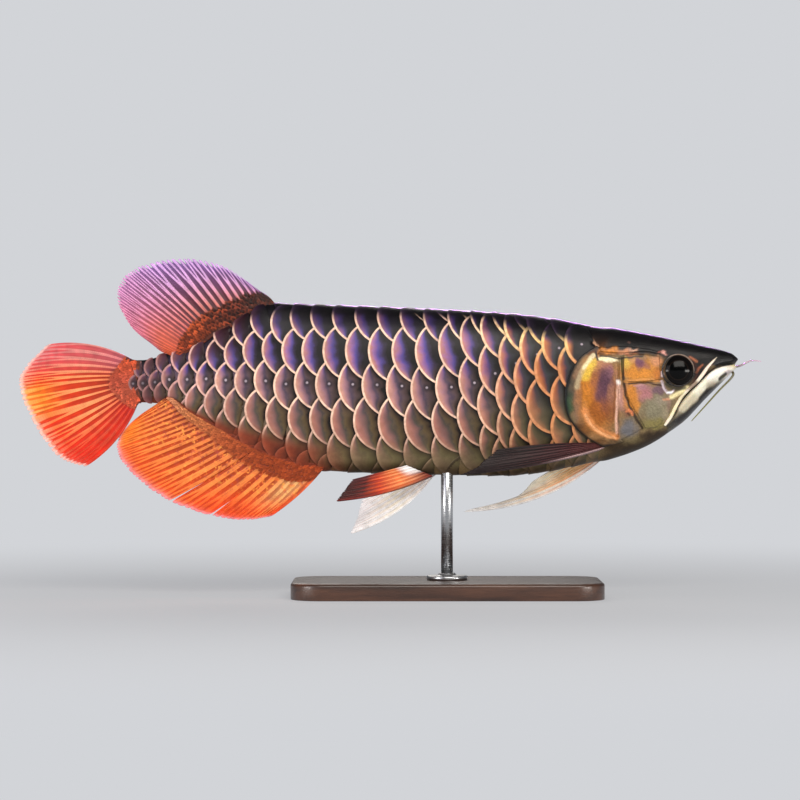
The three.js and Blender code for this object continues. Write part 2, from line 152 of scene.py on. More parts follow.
def on_body(x, share, lift=0.0, side=-1):
    """A point of the body's surface: x along it, and a share of the half girth from the ridge (0) to the
    keel (1), raised by lift along the outward normal. A share past either end runs on over the other side.
    side is -1 for the right flank and 1 for the left."""
    x, share, lift = np.broadcast_arrays(x, share, lift)
    flips = np.where((share < 0) | (share > 1), -side, side)
    folded = 1 - np.abs(1 - np.abs(share))
    row = np.interp(x, stations, np.arange(STATIONS))
    column = np.clip(folded, 0, 1) * (SHARES - 1)
    point = sampled(ring_place, row, column) + sampled(ring_normal, row, column) * lift[..., None]
    point[..., 1] *= flips
    return point


def share_at(x, z):
    """The share of the half girth at which the flank's surface is at height z, seen from the side: the
    nearest entries of the two rings beside x, blended."""
    x, z = np.broadcast_arrays(np.asarray(x, float), np.asarray(z, float))
    flat_x, flat_z = x.ravel(), z.ravel()
    row = np.interp(flat_x, stations, np.arange(STATIONS))
    i = np.clip(row.astype(int), 0, STATIONS - 2)
    t = (row - i)[:, None]
    heights = ring_place[i, :, 2] * (1 - t) + ring_place[i + 1, :, 2] * t
    column = np.clip((heights > flat_z[:, None]).sum(axis=1), 1, SHARES - 1)
    rank = np.arange(len(column))
    above, below = heights[rank, column - 1], heights[rank, column]
    part = np.clip((above - flat_z) / np.maximum(above - below, 1e-6), 0, 1)
    return ((column - 1 + part) / (SHARES - 1)).reshape(x.shape)


def step(low, high, value):
    """A soft step from 0 at low to 1 at high."""
    t = np.clip((value - low) / (high - low), 0, 1)
    return t * t * (3 - 2 * t)


def linear(code):
    """A hex colour as linear red, green and blue."""
    value = np.array([int(code[i : i + 2], 16) / 255 for i in (1, 3, 5)])
    return np.where(value <= 0.04045, value / 12.92, ((value + 0.055) / 1.055) ** 2.4)


def laid(colour, code, cover):
    """A colour with a hex colour laid over it, hidden by it where cover is 1."""
    return colour * (1 - cover[..., None]) + linear(code) * cover[..., None]


def blend_along(at, codes, stops=None):
    """Hex colours blended evenly between stops, which are even steps from 0 to 1 unless given."""
    stops = np.linspace(0, 1, len(codes)) if stops is None else stops
    table = np.array([linear(code) for code in codes])
    return np.stack([np.interp(at, stops, table[:, k]) for k in range(3)], axis=-1)


def cloud(x, z, size, seed):
    """Soft noise, mostly between -1 and 1: a sum of sine waves in random directions, of lengths near
    size."""
    chance = np.random.default_rng(seed)
    total = 0
    for _ in range(9):
        turn, phase = chance.random(2) * 2 * np.pi
        length = size * (0.7 + 0.7 * chance.random())
        total = total + np.sin((x * np.cos(turn) + z * np.sin(turn)) * 2 * np.pi / length + phase)
    return total / 3


def paint(x, z, base, blobs, strokes=()):
    """Soft coloured patches and lines over a base colour. A blob is a colour, a centre, two radii and a
    strength, and a stroke is a colour, a half width, a strength and a path. Both fade with the fourth power
    of the distance, over a place that noise has shifted, so that their outlines wander."""
    colour = np.broadcast_to(base, x.shape + (3,)).copy()
    shift_x, shift_z = (0.9 * cloud(x, z, 8, seed) + 0.2 * cloud(x, z, 2.8, seed + 1) for seed in (1, 3))
    for code, centre_x, centre_z, radius_x, radius_z, strength in blobs:
        far = ((x + shift_x - centre_x) / radius_x) ** 2 + ((z + shift_z - centre_z) / radius_z) ** 2
        colour = laid(colour, code, strength * np.exp(-(far**2) * 0.7))
    for code, width, strength, path in strokes:
        away = np.full(x.shape, 1e6)
        for (a, b), (c, d) in zip(path[:-1], path[1:]):
            px, pz = x + shift_x * 0.25 - a, z + shift_z * 0.25 - b
            t = np.clip((px * (c - a) + pz * (d - b)) / ((c - a) ** 2 + (d - b) ** 2), 0, 1)
            away = np.minimum(away, np.hypot(px - t * (c - a), pz - t * (d - b)))
        colour = laid(colour, code, strength * np.exp(-((away / width) ** 4) * 0.7))
    return colour


GIRTH_STOPS = [0, 0.08, 0.16, 0.24, 0.36, 0.5, 0.64, 0.8, 0.92, 1]
GIRTH_CODES = ["#0B090D", "#0E0B10", "#2A2230", "#4A3A52", "#5E4C60", "#6A5560", "#6A5A50", "#6E604A",
               "#6A583C", "#59452E"]
HEAD_BLOBS = [
    ("#7B725A", 174.7, 158, 13.4, 13.4, 0.95), ("#7B7243", 172.8, 145.1, 11.5, 5.25, 0.8),
    ("#322412", 151.8, 125.6, 33.4, 6.68, 0.95), ("#1F140B", 176.6, 134.1, 18.1, 4.96, 0.9),
    ("#0D0807", 210.1, 189.5, 9.07, 10.5, 1), ("#080607", 212.9, 204.8, 40.1, 7.16, 1),
    ("#090707", 191.9, 189.5, 15.8, 14.3, 0.9), ("#6F5E4F", 107.9, 169.5, 3.63, 27.7, 1),
    ("#0D1214", 99.5, 176.1, 4.96, 25.8, 1), ("#080B0F", 99.3, 191.4, 5.25, 22, 1),
    ("#0D1214", 96, 174.2, 3.06, 19.1, 0.9), ("#244932", 101.6, 160.4, 2.86, 9.55, 0.9),
    ("#404941", 103.6, 174.2, 2.48, 8.59, 0.6), ("#261C10", 107.9, 139.9, 10.5, 6.68, 0.95),
    ("#281C0B", 125.1, 127.9, 16.2, 4.3, 0.95), ("#7A5F41", 133.7, 129.2, 7.64, 1.53, 0.5),
    ("#A35F19", 125.1, 169.5, 16.7, 31.5, 1), ("#BF8B2D", 116, 188.6, 4.3, 8.12, 0.9),
    ("#C6924F", 122.2, 193.3, 5.73, 3.82, 0.6), ("#B46D1C", 115.1, 172.3, 4.01, 16.2, 0.9),
    ("#AA7257", 130.8, 192.4, 5.25, 4.3, 0.7), ("#884919", 125.1, 155.1, 8.59, 8.59, 0.7),
    ("#6B3926", 133.7, 159, 4.77, 10.5, 0.6), ("#764849", 130.4, 178.1, 9.07, 15.8, 0.6),
    ("#482A3C", 131.3, 180.9, 6.49, 11, 0.95), ("#513041", 128, 170.4, 5.25, 6.68, 0.8),
    ("#7D525F", 135.6, 188.6, 3.34, 4.77, 0.7), ("#946348", 136.1, 170.4, 2.86, 8.59, 0.6),
    ("#BF7F41", 114.1, 159, 2.39, 5.73, 0.6), ("#F1E5BB", 135.6, 198.6, 7.16, 2.1, 0.95),
    ("#F6E8B4", 128.4, 199.5, 3.34, 1.72, 0.9), ("#AA7C77", 145.6, 165.6, 3.82, 8.59, 0.9),
    ("#885C63", 148.5, 172.3, 2.39, 5.73, 0.5), ("#7A463A", 149.9, 155.1, 3.82, 3.34, 0.8),
    ("#656468", 150.9, 140.8, 7.16, 8.12, 0.95), ("#7A6B48", 154.7, 131.3, 7.64, 3.82, 0.7),
    ("#B87724", 161.4, 189.5, 16.7, 10, 1), ("#CAA443", 148.5, 196.2, 3.34, 4.3, 0.9),
    ("#BF8855", 154.7, 198.6, 2.86, 2.39, 0.6), ("#5D354F", 160.4, 195.7, 4.3, 4.3, 0.95),
    ("#7A494F", 164.2, 193.3, 3.82, 2.86, 0.5), ("#C3845C", 173.8, 197.1, 4.3, 4.77, 0.85),
    ("#C67E2D", 160.4, 186.2, 14.3, 2.86, 0.8), ("#B15F21", 174.7, 186.6, 3.82, 4.77, 0.5),
    ("#B8742A", 152.3, 168.5, 6.49, 11.5, 1), ("#BF7A30", 157.1, 160.9, 3.34, 6.68, 0.8),
    ("#A4696D", 164.2, 170.4, 5.73, 5.92, 0.9), ("#A3727F", 162.3, 176.1, 4.77, 2.39, 0.6),
    ("#614455", 174.7, 173.3, 5.73, 3.82, 0.85), ("#7A745E", 172.8, 158, 7.64, 8.12, 0.8),
    ("#8D7F70", 177.6, 164.7, 4.77, 3.82, 0.5), ("#88645C", 184.3, 160.9, 2.86, 5.73, 0.5),
    ("#7B7041", 174.7, 144.6, 8.59, 3.82, 0.8), ("#A39277", 182.4, 152.3, 2.86, 5.73, 0.4),
    ("#BF772F", 135.6, 205.9, 8.12, 2.48, 0.95), ("#C6845C", 147.1, 204.8, 4.77, 2.1, 0.8),
    ("#D19D81", 154.7, 206.5, 3.34, 1.34, 0.8), ("#944826", 150.9, 202.9, 5.73, 1.15, 0.6),
    ("#402114", 159.5, 203.8, 2.86, 1.53, 0.8), ("#D89A8C", 180, 204.3, 2.67, 1.24, 0.95),
    ("#A3482F", 176.2, 204.8, 1.72, 1.15, 0.6), ("#080505", 191.9, 189.2, 12.8, 13.2, 1),
]
HEAD_STROKES = [
    # Painted highlight: the pale peach band along the lower rear edge of the gill cover, in two strokes.
    ("#D5884D", 2.7, 0.85, [[114.1, 156.1], [117, 148.5], [122.2, 142.3], [130.8, 137.5], [140.4, 134.6]]),
    ("#E3A570", 1.1, 0.8, [[114.8, 152.3], [118.6, 145.6], [124.1, 140.1], [131.8, 135.9], [139.4, 133.4]]),
    # Painted shade: the dark line in the groove between the preopercle and the cheek plates.
    ("#241508", 1.1, 0.95, [[145.1, 200], [145.7, 188.6], [146.7, 178.1], [148, 169.5], [151.1, 160.4],
        [155.6, 151.8], [159.7, 145.6], [162.8, 141.3]]),
    ("#4F4912", 0.67, 0.7, [[144.4, 200], [145, 188.6]]),
    ("#6B391F", 0.67, 0.6, [[139.2, 178.1], [138.5, 164.7], [137.7, 150.4]]),
    ("#DFB09A", 1.3, 0.9, [[142.1, 178.1], [141.9, 170.4], [141, 159], [140.4, 149.4], [141.3, 138]]),
    ("#FFF6F0", 1.6, 0.95, [[141.8, 180.4], [142, 179.2]]),
    ("#D8B23C", 3.2, 0.85, [[121, 197], [117.5, 191], [114.5, 184]]),
    ("#C8BE96", 2.2, 0.45, [[114, 193], [111, 187.5], [108.8, 182], [107.6, 176]]),
    ("#E6DAAE", 1.6, 0.8, [[121.3, 202], [116.8, 197], [113.4, 192]]),
    ("#32190B", 0.76, 0.9, [[150.9, 178.7], [158.5, 179.1], [166.1, 179.4], [172.8, 178.1], [178.1, 176.9]]),
    ("#D5924F", 0.86, 0.7, [[147.1, 180.7], [154.7, 181.1], [162.3, 182.3], [170, 181.9], [176.6, 180.4]]),
    ("#BF8B92", 0.67, 0.5, [[154.7, 176.6], [162.3, 177.5]]),
    ("#CD774B", 0.95, 0.9, [[148.5, 155.6], [150.9, 156.8], [153.5, 155.1], [153.7, 152.8]]),
    ("#32190F", 0.86, 0.8, [[149.7, 154], [152, 152.3]]),
    ("#EEDDE1", 0.86, 0.9, [[178.1, 188.1], [179, 185.2]]),
    ("#C4B4BE", 0.9, 0.9, [[178.1, 180.4], [180, 174.2], [182.9, 170.9], [185.7, 170.2], [188.1, 172.8]]),
    ("#FFFFFF", 0.76, 0.9, [[183.3, 170.8], [186.7, 171.4]]),
    ("#BF8463", 0.95, 0.8, [[180, 165.5], [184.3, 165.8], [189.1, 168], [193.8, 170.4]]),
    ("#E8DCA8", 1.8, 0.85, [[186.5, 167], [190, 169], [193.8, 170.9], [197.6, 173.3], [200.5, 174.8]]),
    ("#D8C68A", 1.0, 0.8, [[194.5, 166.5], [190.5, 160], [187, 152.5], [184.4, 147]]),
    ("#282A1F", 1.2, 0.8, [[182.4, 178.1], [187.1, 174.6], [192.9, 173.9], [198.6, 174.8]]),
    ("#AA6341", 0.95, 0.8, [[201.9, 200.8], [204.8, 199.1], [207.7, 197]]),
    ("#A35C3E", 0.86, 0.7, [[212.4, 194.3], [209.6, 191.4], [207.7, 188.1]]),
    ("#40190F", 0.86, 0.6, [[205.8, 195.2], [208.2, 190.5], [207.7, 184.7], [204.8, 180]]),
    ("#D19D7A", 0.95, 0.9, [[119.9, 216.2], [122.2, 213.4], [125.1, 210]]),
    ("#B17769", 0.67, 0.6, [[114.1, 214.3], [118.6, 214.5]]),
    ("#F4E4D8", 1.1, 0.95, [[110.8, 211.1], [111.2, 210.8]]),
    ("#7A574F", 0.57, 0.6, [[150.4, 213.4], [152, 212.4]]),
    ("#100808", 0.86, 0.95, [[123.2, 205.5], [124, 201], [125.1, 198.3]]),
    ("#1B0F0B", 0.76, 0.9, [[127, 201.5], [134.6, 200.8], [141.3, 199.2], [144.2, 199.5], [152.8, 200.5],
        [162.3, 201.7]]),
]
BLACK_ABOVE = [[90, 205], [105, 203], [118, 202], [125, 203], [178, 202.5], [184, 200], [245, 190]]


def head_colour(x, z):
    """The markings of the head, the same on bare skin and on bone: patches and lines over tan, and over
    black above a line along the top of the head, all finely mottled. Among the lines are a painted highlight
    on the gill cover's lower rear edge and painted shade in the groove in front of the preopercle."""
    line_x, line_z = np.array(BLACK_ABOVE).T
    above = step(-1.5, 1.5, z + 0.8 * cloud(x, z, 6, 7) - np.interp(x, line_x, line_z))
    base = laid(linear("#786446"), "#0A080A", above)
    colour = paint(x, z, base, HEAD_BLOBS, HEAD_STROKES)
    return colour * (1 + 0.1 * cloud(x, z, 2.4, 11) + 0.07 * cloud(x, z, 1.2, 12))[..., None]


def gill_x(z):
    """How far forward the gill opening lies at height z: an arc that bulges backwards at mid height."""
    return np.interp(z, [99, 125.7, 134, 143, 153, 164.5, 177, 190, 202, 210, 228],
                     [124, 128, 115.4, 105.6, 99.7, 97.5, 98.3, 103.3, 111.7, 123, 130])


def make_mesh(name, points, quads, paint_values=None, attributes=None, uv=None):
    """A mesh object at the origin from points in millimetres and quads, with smooth faces. Vertex colours,
    other attributes and a UV map, each given per vertex, are stored with it."""
    mesh = bpy.data.meshes.new(name)
    points = points.reshape(-1, 3) * MM
    mesh.vertices.add(len(points))
    mesh.vertices.foreach_set("co", points.ravel().astype(np.float32))
    mesh.loops.add(quads.size)
    mesh.loops.foreach_set("vertex_index", quads.ravel().astype(np.int32))
    mesh.polygons.add(len(quads))
    mesh.polygons.foreach_set("loop_start", np.arange(0, quads.size, 4, dtype=np.int32))
    mesh.polygons.foreach_set("use_smooth", np.ones(len(quads), bool))
    mesh.update(calc_edges=True)
    if paint_values is not None:
        layer = mesh.attributes.new("paint", "FLOAT_COLOR", "POINT")
        opaque = np.concatenate([paint_values.reshape(-1, 3), np.ones((len(points), 1))], axis=1)
        layer.data.foreach_set("color", opaque.ravel().astype(np.float32))
    for key, values in (attributes or {}).items():
        is_vector = values.shape[-1:] == (3,) and values.size == len(points) * 3
        layer = mesh.attributes.new(key, "FLOAT_VECTOR" if is_vector else "FLOAT", "POINT")
        layer.data.foreach_set("vector" if is_vector else "value", values.ravel().astype(np.float32))
    if uv is not None:
        layer = mesh.uv_layers.new(name="OFBake")
        layer.data.foreach_set("uv", uv.reshape(-1, 2)[quads.ravel()].ravel().astype(np.float32))
    made = bpy.data.objects.new(name, mesh)
    bpy.context.scene.collection.objects.link(made)
    return made


def grid_quads(rows, columns, wrap=False):
    """Quads over a grid of vertices. With wrap, the last column joins the first."""
    index = np.arange(rows * columns).reshape(rows, columns)
    if wrap:
        index = np.concatenate([index, index[:, :1]], axis=1)
    return np.stack([index[:-1, :-1], index[1:, :-1], index[1:, 1:], index[:-1, 1:]], axis=-1).reshape(-1, 4)


def outward(points, quads):
    """The quads, turned round if the solid they close has a negative volume."""
    p = points.reshape(-1, 3)
    a, b, c, d = (p[quads[:, k]] for k in range(4))
    volume = np.einsum("ij,ij->i", a, np.cross(b, c) + np.cross(c, d)).sum()
    return quads if volume > 0 else quads[:, ::-1]


def wear(piece, material, replaced=()):
    """Gives a piece its material, rides it on the one body, and hides the solids it stands for."""
    piece.data.materials.append(material)
    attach(piece, "root")
    if replaced:
        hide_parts(*replaced)
    return piece


def add(tree, kind, inputs=None, **settings):
    """A new node of a material, with its settings, and its inputs linked to sockets or set to values."""
    node = tree.nodes.new("ShaderNode" + kind)
    for key, value in settings.items():
        setattr(node, key, value)
    for key, value in (inputs or {}).items():
        if isinstance(value, bpy.types.NodeSocket):
            tree.links.new(value, node.inputs[key])
        else:
            node.inputs[key].default_value = value
    return node


def rgba(code):
    """A hex colour as linear red, green and blue, fully opaque."""
    return (*linear(code), 1.0)


def stored(tree, name, output="Fac"):
    """A value that the mesh stores for each point, read in its material."""
    return add(tree, "Attribute", attribute_name=name).outputs[output]


def ramp(tree, factor, stops):
    """A colour that blends evenly between (position, hex colour) stops."""
    node = add(tree, "ValToRGB", {"Fac": factor})
    elements = node.color_ramp.elements
    while len(elements) < len(stops):
        elements.new(0.5)
    for element, (position, code) in zip(elements, stops):
        element.position = position
        element.color = rgba(code)
    return node.outputs["Color"]


def mix(tree, factor, first, second, blend="MIX"):
    """The first colour with the second laid over it by the factor."""
    node = add(tree, "Mix", data_type="RGBA", blend_type=blend)
    for socket, value in zip((node.inputs[0], node.inputs[6], node.inputs[7]), (factor, first, second)):
        if isinstance(value, bpy.types.NodeSocket):
            tree.links.new(value, socket)
        else:
            socket.default_value = value
    return node.outputs[2]


def maths(tree, operation, *values, clamp=False):
    """One arithmetic step on numbers or sockets."""
    node = add(tree, "Math", dict(enumerate(values)), operation=operation, use_clamp=clamp)
    return node.outputs[0]


def times(tree, first, second):
    """The product of two numbers or sockets."""
    return maths(tree, "MULTIPLY", first, second)


def span(tree, value, low, high, start=0.0, end=1.0):
    """A number that runs from start to end, softly, as value goes from low to high."""
    node = add(tree, "MapRange", {"Value": value, "From Min": low, "From Max": high, "To Min": start,
                                  "To Max": end}, interpolation_type="SMOOTHSTEP")
    return node.outputs["Result"]


def noise(tree, scale, detail=3.0, roughness=0.55, vector=None):
    """Cloudy noise on object coordinates, in cells per metre."""
    vector = vector or add(tree, "TexCoord").outputs["Object"]
    return add(tree, "TexNoise", {"Vector": vector, "Scale": scale, "Detail": detail,
                                  "Roughness": roughness}).outputs["Fac"]


def bump(tree, height, distance, strength=1.0):
    """A normal pushed by a height, which counts in metres once multiplied by distance."""
    return add(tree, "Bump", {"Height": height, "Distance": distance, "Strength": strength}).outputs["Normal"]


def new_material(name, **sockets):
    """A material whose shader's own sockets are set, by names with underscores for spaces."""
    material = bpy.data.materials.new(name)
    material.use_nodes = True
    shader = material.node_tree.nodes["Principled BSDF"]
    for key, value in sockets.items():
        shader.inputs[key.replace("_", " ")].default_value = value
    return material, material.node_tree, shader


def shaded(tree, shader, colour, shade):
    """Gives the shader a colour times a shade, which is 1 where the colour stays as it is."""
    grey = add(tree, "CombineColor", {0: shade, 1: shade, 2: shade}).outputs[0]
    tree.links.new(mix(tree, 1.0, colour, grey, "MULTIPLY"), shader.inputs["Base Color"])


def wet_paint(name, grain=900, mottle=0.22, relief=0.00025, **sockets):
    """A wet organic finish: the vertex paint, darkened and lightened by two sizes of mottling, with fine
    pitted relief under a clear wet coat."""
    material, tree, shader = new_material(name, **sockets)
    fine = noise(tree, grain, 4.0)
    broad = noise(tree, grain / 7, 3.0)
    shade = maths(tree, "ADD", span(tree, fine, 0.3, 0.7, 1 - mottle, 1 + mottle),
                  span(tree, broad, 0.3, 0.7, -mottle / 2, mottle / 2))
    shaded(tree, shader, stored(tree, "paint", "Color"), shade)
    rough = sockets["Roughness"]
    tree.links.new(span(tree, broad, 0.3, 0.7, rough - 0.06, rough + 0.1), shader.inputs["Roughness"])
    tree.links.new(bump(tree, fine, relief), shader.inputs["Normal"])
    return material


STALK_END_X, NECK_X, SNOUT_TIP = STALK_X + 6, 92, 8
SKIN_ALONG = np.concatenate([
    np.linspace(STALK_X, STALK_END_X, 7)[:-1],
    np.linspace(STALK_END_X, NECK_X, 112)[:-1],
    np.linspace(NECK_X, SNOUT_X - SNOUT_TIP, 132)[:-1],
    SNOUT_X - SNOUT_TIP * np.cos(np.linspace(0, np.pi / 2, 16)),
])
SKIN_ROUND = 264
CLEFT_HALF = 1.8
CLEFT_DEPTH = 1.5

MOUTH_LINE = [[178, 138.5], [181.8, 143.8], [186.9, 149.2], [191.1, 154.2], [192.7, 158.3], [195.3, 162.9],
              [198.6, 167.1], [202, 170.8], [206.2, 175], [210.4, 179.3], [214.6, 183.7], [218.9, 187.7],
              [223.1, 190.8], [227.5, 192.7], [233.6, 194], [240.8, 194.7], [247, 195.2]]
mouth_height = smooth(MOUTH_LINE)

skin_x, turn = np.meshgrid(SKIN_ALONG, np.linspace(0, 2, SKIN_ROUND, endpoint=False), indexing="ij")
skin_share = 1 - np.abs(1 - turn)
skin_z = on_body(skin_x, turn)[..., 2]
bare = step(-3, 9, skin_x - gill_x(skin_z))
cleft = np.exp(-(((skin_z - mouth_height(skin_x)) / CLEFT_HALF) ** 2)) * step(180, 190, skin_x)
skin_lift = -SCALE_DEPTH + (SCALE_DEPTH - BARE_DEPTH) * bare - CLEFT_DEPTH * cleft
skin_lift *= 1 - np.clip(STALK_X + 1 - skin_x, 0, 1)

skin_paint = blend_along(skin_share, GIRTH_CODES, GIRTH_STOPS)
skin_paint = laid(skin_paint, "#6E301C", step(-70, -130, skin_x) * step(0.74, 0.85, skin_share))
head_paint = laid(head_colour(skin_x, skin_z), "#2C2114", step(0.82, 0.95, skin_share))
# Painted shade: the mouth cleft, the groove between the jaws, is darkened almost to black.
head_paint *= 1 - 0.9 * cleft[..., None]
nape = step(92, 106, skin_x) * step(198, 206, skin_z)
skin_paint = skin_paint + (head_paint - skin_paint) * np.maximum(bare, nape)[..., None]

skin_finish = wet_paint("wet_skin", Roughness=0.4, Specular_IOR_Level=0.2, Coat_Weight=0.05,
                        Coat_Roughness=0.16)
skin_points = on_body(skin_x, turn, skin_lift)
skin_quads = grid_quads(*skin_x.shape, wrap=True)
skin = make_mesh("skin", skin_points, outward(skin_points, skin_quads), skin_paint)
wear(skin, skin_finish, ["head", "trunk", "tail"])

# The scales: bony discs the size of a coin, set in the skin in rows that follow the lateral line. Each lies
# over the one behind it, and shows a pale rim, a mauve band and a dark core, which darkens further to a
# painted shadow where the next scale's rim covers it. Those of the lateral line have a pore.
SCALE_TOP = -0.15
SCALE_SLOPE = 0.055
SCALE_THICK = 0.34
SCALE_ACROSS = 33
SCALE_RINGS = 1 - np.array([0, 0.008, 0.022, 0.045, 0.08, 0.13, 0.2, 0.29, 0.4, 0.52, 0.65, 0.79, 0.93])
RIM_RISE, RISE_WIDTH = 0.15, 1.3
RIM_FALL, FALL_WIDTH = 0.13, 0.5
END_TUCK = 0.3
FIRST_RANK, END_RANK = -3, 24
MAP_COLUMNS = 28.0
NEAR_X, NEAR_SHARE = 60, 0.4
SIDES = (("right", -1), ("left", 1))

line_edge = smooth([[-4, 166], [-2, 132], [0, 97.7], [1, 79.3], [3, 44.8], [5, 9.5], [7, -30.7], [9, -71.4],
                    [11, -110.1], [13, -144.8], [15, -177.9], [17, -210.3], [19, -239.1], [21, -259.5],
                    [23, -274]])
ROWS = {
    "ridge": ([[-277, 0], [130, 0]], [[-277, 0.95], [130, 0.95]], -146, 112),
    "back": ([[-198, 0.075], [-180, 0.129], [-164, 0.161], [-147, 0.16], [-130, 0.14], [-95, 0.118],
              [0, 0.108], [40, 0.085], [75, 0.05]],
             [[-198, 0.9], [-148, 0.8], [-95, 0.7], [-20, 0.5], [40, 0.6], [75, 0.8]], -202, 60),
    "upper": ([[-262, 0.27], [-231, 0.226], [-204, 0.263], [-179, 0.3], [-155, 0.33], [-121, 0.312],
               [-60, 0.307], [-20, 0.306], [-7, 0.298], [12, 0.27], [29, 0.229], [49, 0.189], [68, 0.15],
               [87, 0.113], [110, 0.09]],
              [[-250, 0.6], [-231, 0.6], [-187, 0.45], [-121, 0.35], [-60, 0.24], [0, 0.11], [28, 0.06],
               [48, 0.2], [87, 0.45]], -268, 96),
    "line": ([[-277, 0.545], [-251, 0.54], [-239, 0.522], [-224, 0.498], [-207, 0.477], [-190, 0.483],
              [-164, 0.503], [-145, 0.503], [-115, 0.486], [-60, 0.484], [-17, 0.492], [-2, 0.488],
              [14, 0.472], [28, 0.44], [45, 0.39], [61, 0.34], [79, 0.292], [98, 0.25], [130, 0.215]],
             [[-277, 0], [130, 0]], -272, 103),
    "lower": ([[-262, 0.79], [-233, 0.742], [-218, 0.715], [-204, 0.687], [-187, 0.668], [-152, 0.674],
               [-114, 0.664], [-36, 0.669], [-10, 0.664], [8, 0.652], [26, 0.622], [43, 0.578], [58, 0.52],
               [75, 0.457], [92, 0.405], [130, 0.36]],
              [[-262, -0.5], [-232, -0.6], [-187, -0.56], [-152, -0.43], [-114, -0.27], [-70, -0.36],
               [-30, -0.27], [8, -0.08], [58, -0.17], [92, -0.3]], -268, 130),
    "flank": ([[-240, 0.9], [-221, 0.865], [-205, 0.835], [-176, 0.814], [-116, 0.81], [-85, 0.826],
               [-20, 0.831], [10, 0.815], [27, 0.8], [44, 0.756], [58, 0.706], [71, 0.65], [88, 0.588],
               [130, 0.53]],
              [[-240, -0.7], [-221, -0.75], [-205, -1], [-176, -0.95], [-157, -0.74], [-136, -0.49],
               [-116, -0.34], [-82, -0.5], [-38, -0.33], [-14, -0.19], [10, 0], [44, -0.06], [58, -0.2],
               [71, -0.46], [88, -0.57]], -236, 130),
    "small": ([[-232, 0.95], [-180, 0.925], [-120, 0.925], [-104, 0.93]],
              [[-232, -1.3], [-104, -0.9]], -228, -104),
    "belly": ([[30, 0.955], [45, 0.91], [59, 0.862], [75, 0.8], [88, 0.756], [130, 0.7]],
              [[30, -0.2], [130, -0.7]], 30, 130),
    "throat": ([[52, 0.97], [70, 0.93], [88, 0.9], [130, 0.86]], [[30, -0.3], [130, -0.9]], 52, 130),
    "keel": ([[-277, 1], [130, 1]], [[-277, -0.62], [130, -0.62]], -100, 118),
}
ROW_SINK = {"ridge": 0.5, "back": 0, "upper": 0, "line": 0.1, "lower": 0.25, "flank": 0.62, "small": 0.9,
            "belly": 0.98, "throat": 1.15, "keel": 1.25}
ROW_NAMES = list(ROWS)
MEDIAN_ROWS = [ROW_NAMES.index("ridge"), ROW_NAMES.index("keel")]
LINE_ROW = ROW_NAMES.index("line")
row_width = smooth([[-277, 0.26], [-234, 0.23], [-200, 0.2], [-160, 0.175], [60, 0.18], [96, 0.165],
                    [130, 0.16]])
pore_share = smooth([[-240, 0.54], [-150, 0.62], [0, 0.68], [60, 0.8], [110, 0.8]])
roundness = smooth([[-277, 0.74], [-245, 0.74], [-210, 0.76], [-145, 0.84], [-92, 0.93], [-30, 1.0],
                    [130, 1.02]])


def lattice():
    """The scales of one flank, each as a row number, the place of its rear edge, its share of the girth,
    the row's slope, the disc's radius and its rank. The lateral line's edges are a curve over the rank, and
    each other row's lie a phase of a pitch ahead of them."""
    found = []
    for number, (places, phases, last, first) in enumerate(ROWS.values()):
        share, phase = smooth(places), smooth(phases)
        ranks = np.arange(FIRST_RANK, END_RANK)
        x = line_edge(ranks - phase(line_edge(ranks)))
        pitch = np.abs(np.gradient(x))
        place = share(x)
        radius = np.maximum(roundness(x) * row_width(x) * half_girth(x), 0.98 * pitch)
        if ROW_NAMES[number] == "small":
            radius = radius * 0.5
        height = on_body(x, place)[:, 2]
        keep = (x < gill_x(height) + 5) & (x > last) & (x < first)
        slope = (share(x + 1) - share(x - 1)) / 2
        values = [x, place, slope, radius, ranks - FIRST_RANK, pitch]
        found.append(np.stack([np.full(keep.sum(), number), *(value[keep] for value in values)], axis=1))
    return np.concatenate(found)


scales = lattice()


def scale_frames(side):
    """For each scale, the matrix that turns a step forward along its row and a step down the girth, both in
    millimetres, into steps of x and of share."""
    x, share, slope = scales[:, 1], scales[:, 2], scales[:, 3]
    along = (on_body(x + 1, share, side=side) - on_body(x - 1, share, side=side)) / 2
    down = (on_body(x, share + 0.004, side=side) - on_body(x, share - 0.004, side=side)) / 0.008
    forward = along + down * slope[:, None]
    forward /= np.linalg.norm(forward, axis=1, keepdims=True)
    lower = down - forward * np.einsum("ij,ij->i", down, forward)[:, None]
    lower /= np.linalg.norm(lower, axis=1, keepdims=True)
    table = np.stack([
        np.stack([np.einsum("ij,ij->i", along, forward), np.einsum("ij,ij->i", down, forward)], axis=-1),
        np.stack([np.einsum("ij,ij->i", along, lower), np.einsum("ij,ij->i", down, lower)], axis=-1),
    ], axis=1)
    return np.linalg.inv(table)


def solid_sheets(tops, bottoms):
    """Closed sheets from a stack of top grids and one of bottom grids: top and bottom quads, and walls
    round the four borders. Gives all points and quads, facing out."""
    count, rows, columns = tops.shape[:3]
    size = rows * columns
    top = grid_quads(rows, columns)
    index = np.arange(size).reshape(rows, columns)
    border = np.concatenate([index[0, :], index[1:, -1], index[-1, -2::-1], index[-2:0:-1, 0]])
    after = np.roll(border, -1)
    wall = np.stack([border, after, after + size, border + size], axis=-1)
    one = np.concatenate([top, top[:, ::-1] + size, wall])
    points = np.concatenate([tops.reshape(count, size, 3), bottoms.reshape(count, size, 3)], axis=1)
    sign = outward(points[0], one)
    quads = (sign[None] + 2 * size * np.arange(count)[:, None, None]).reshape(-1, 4)
    return points, quads


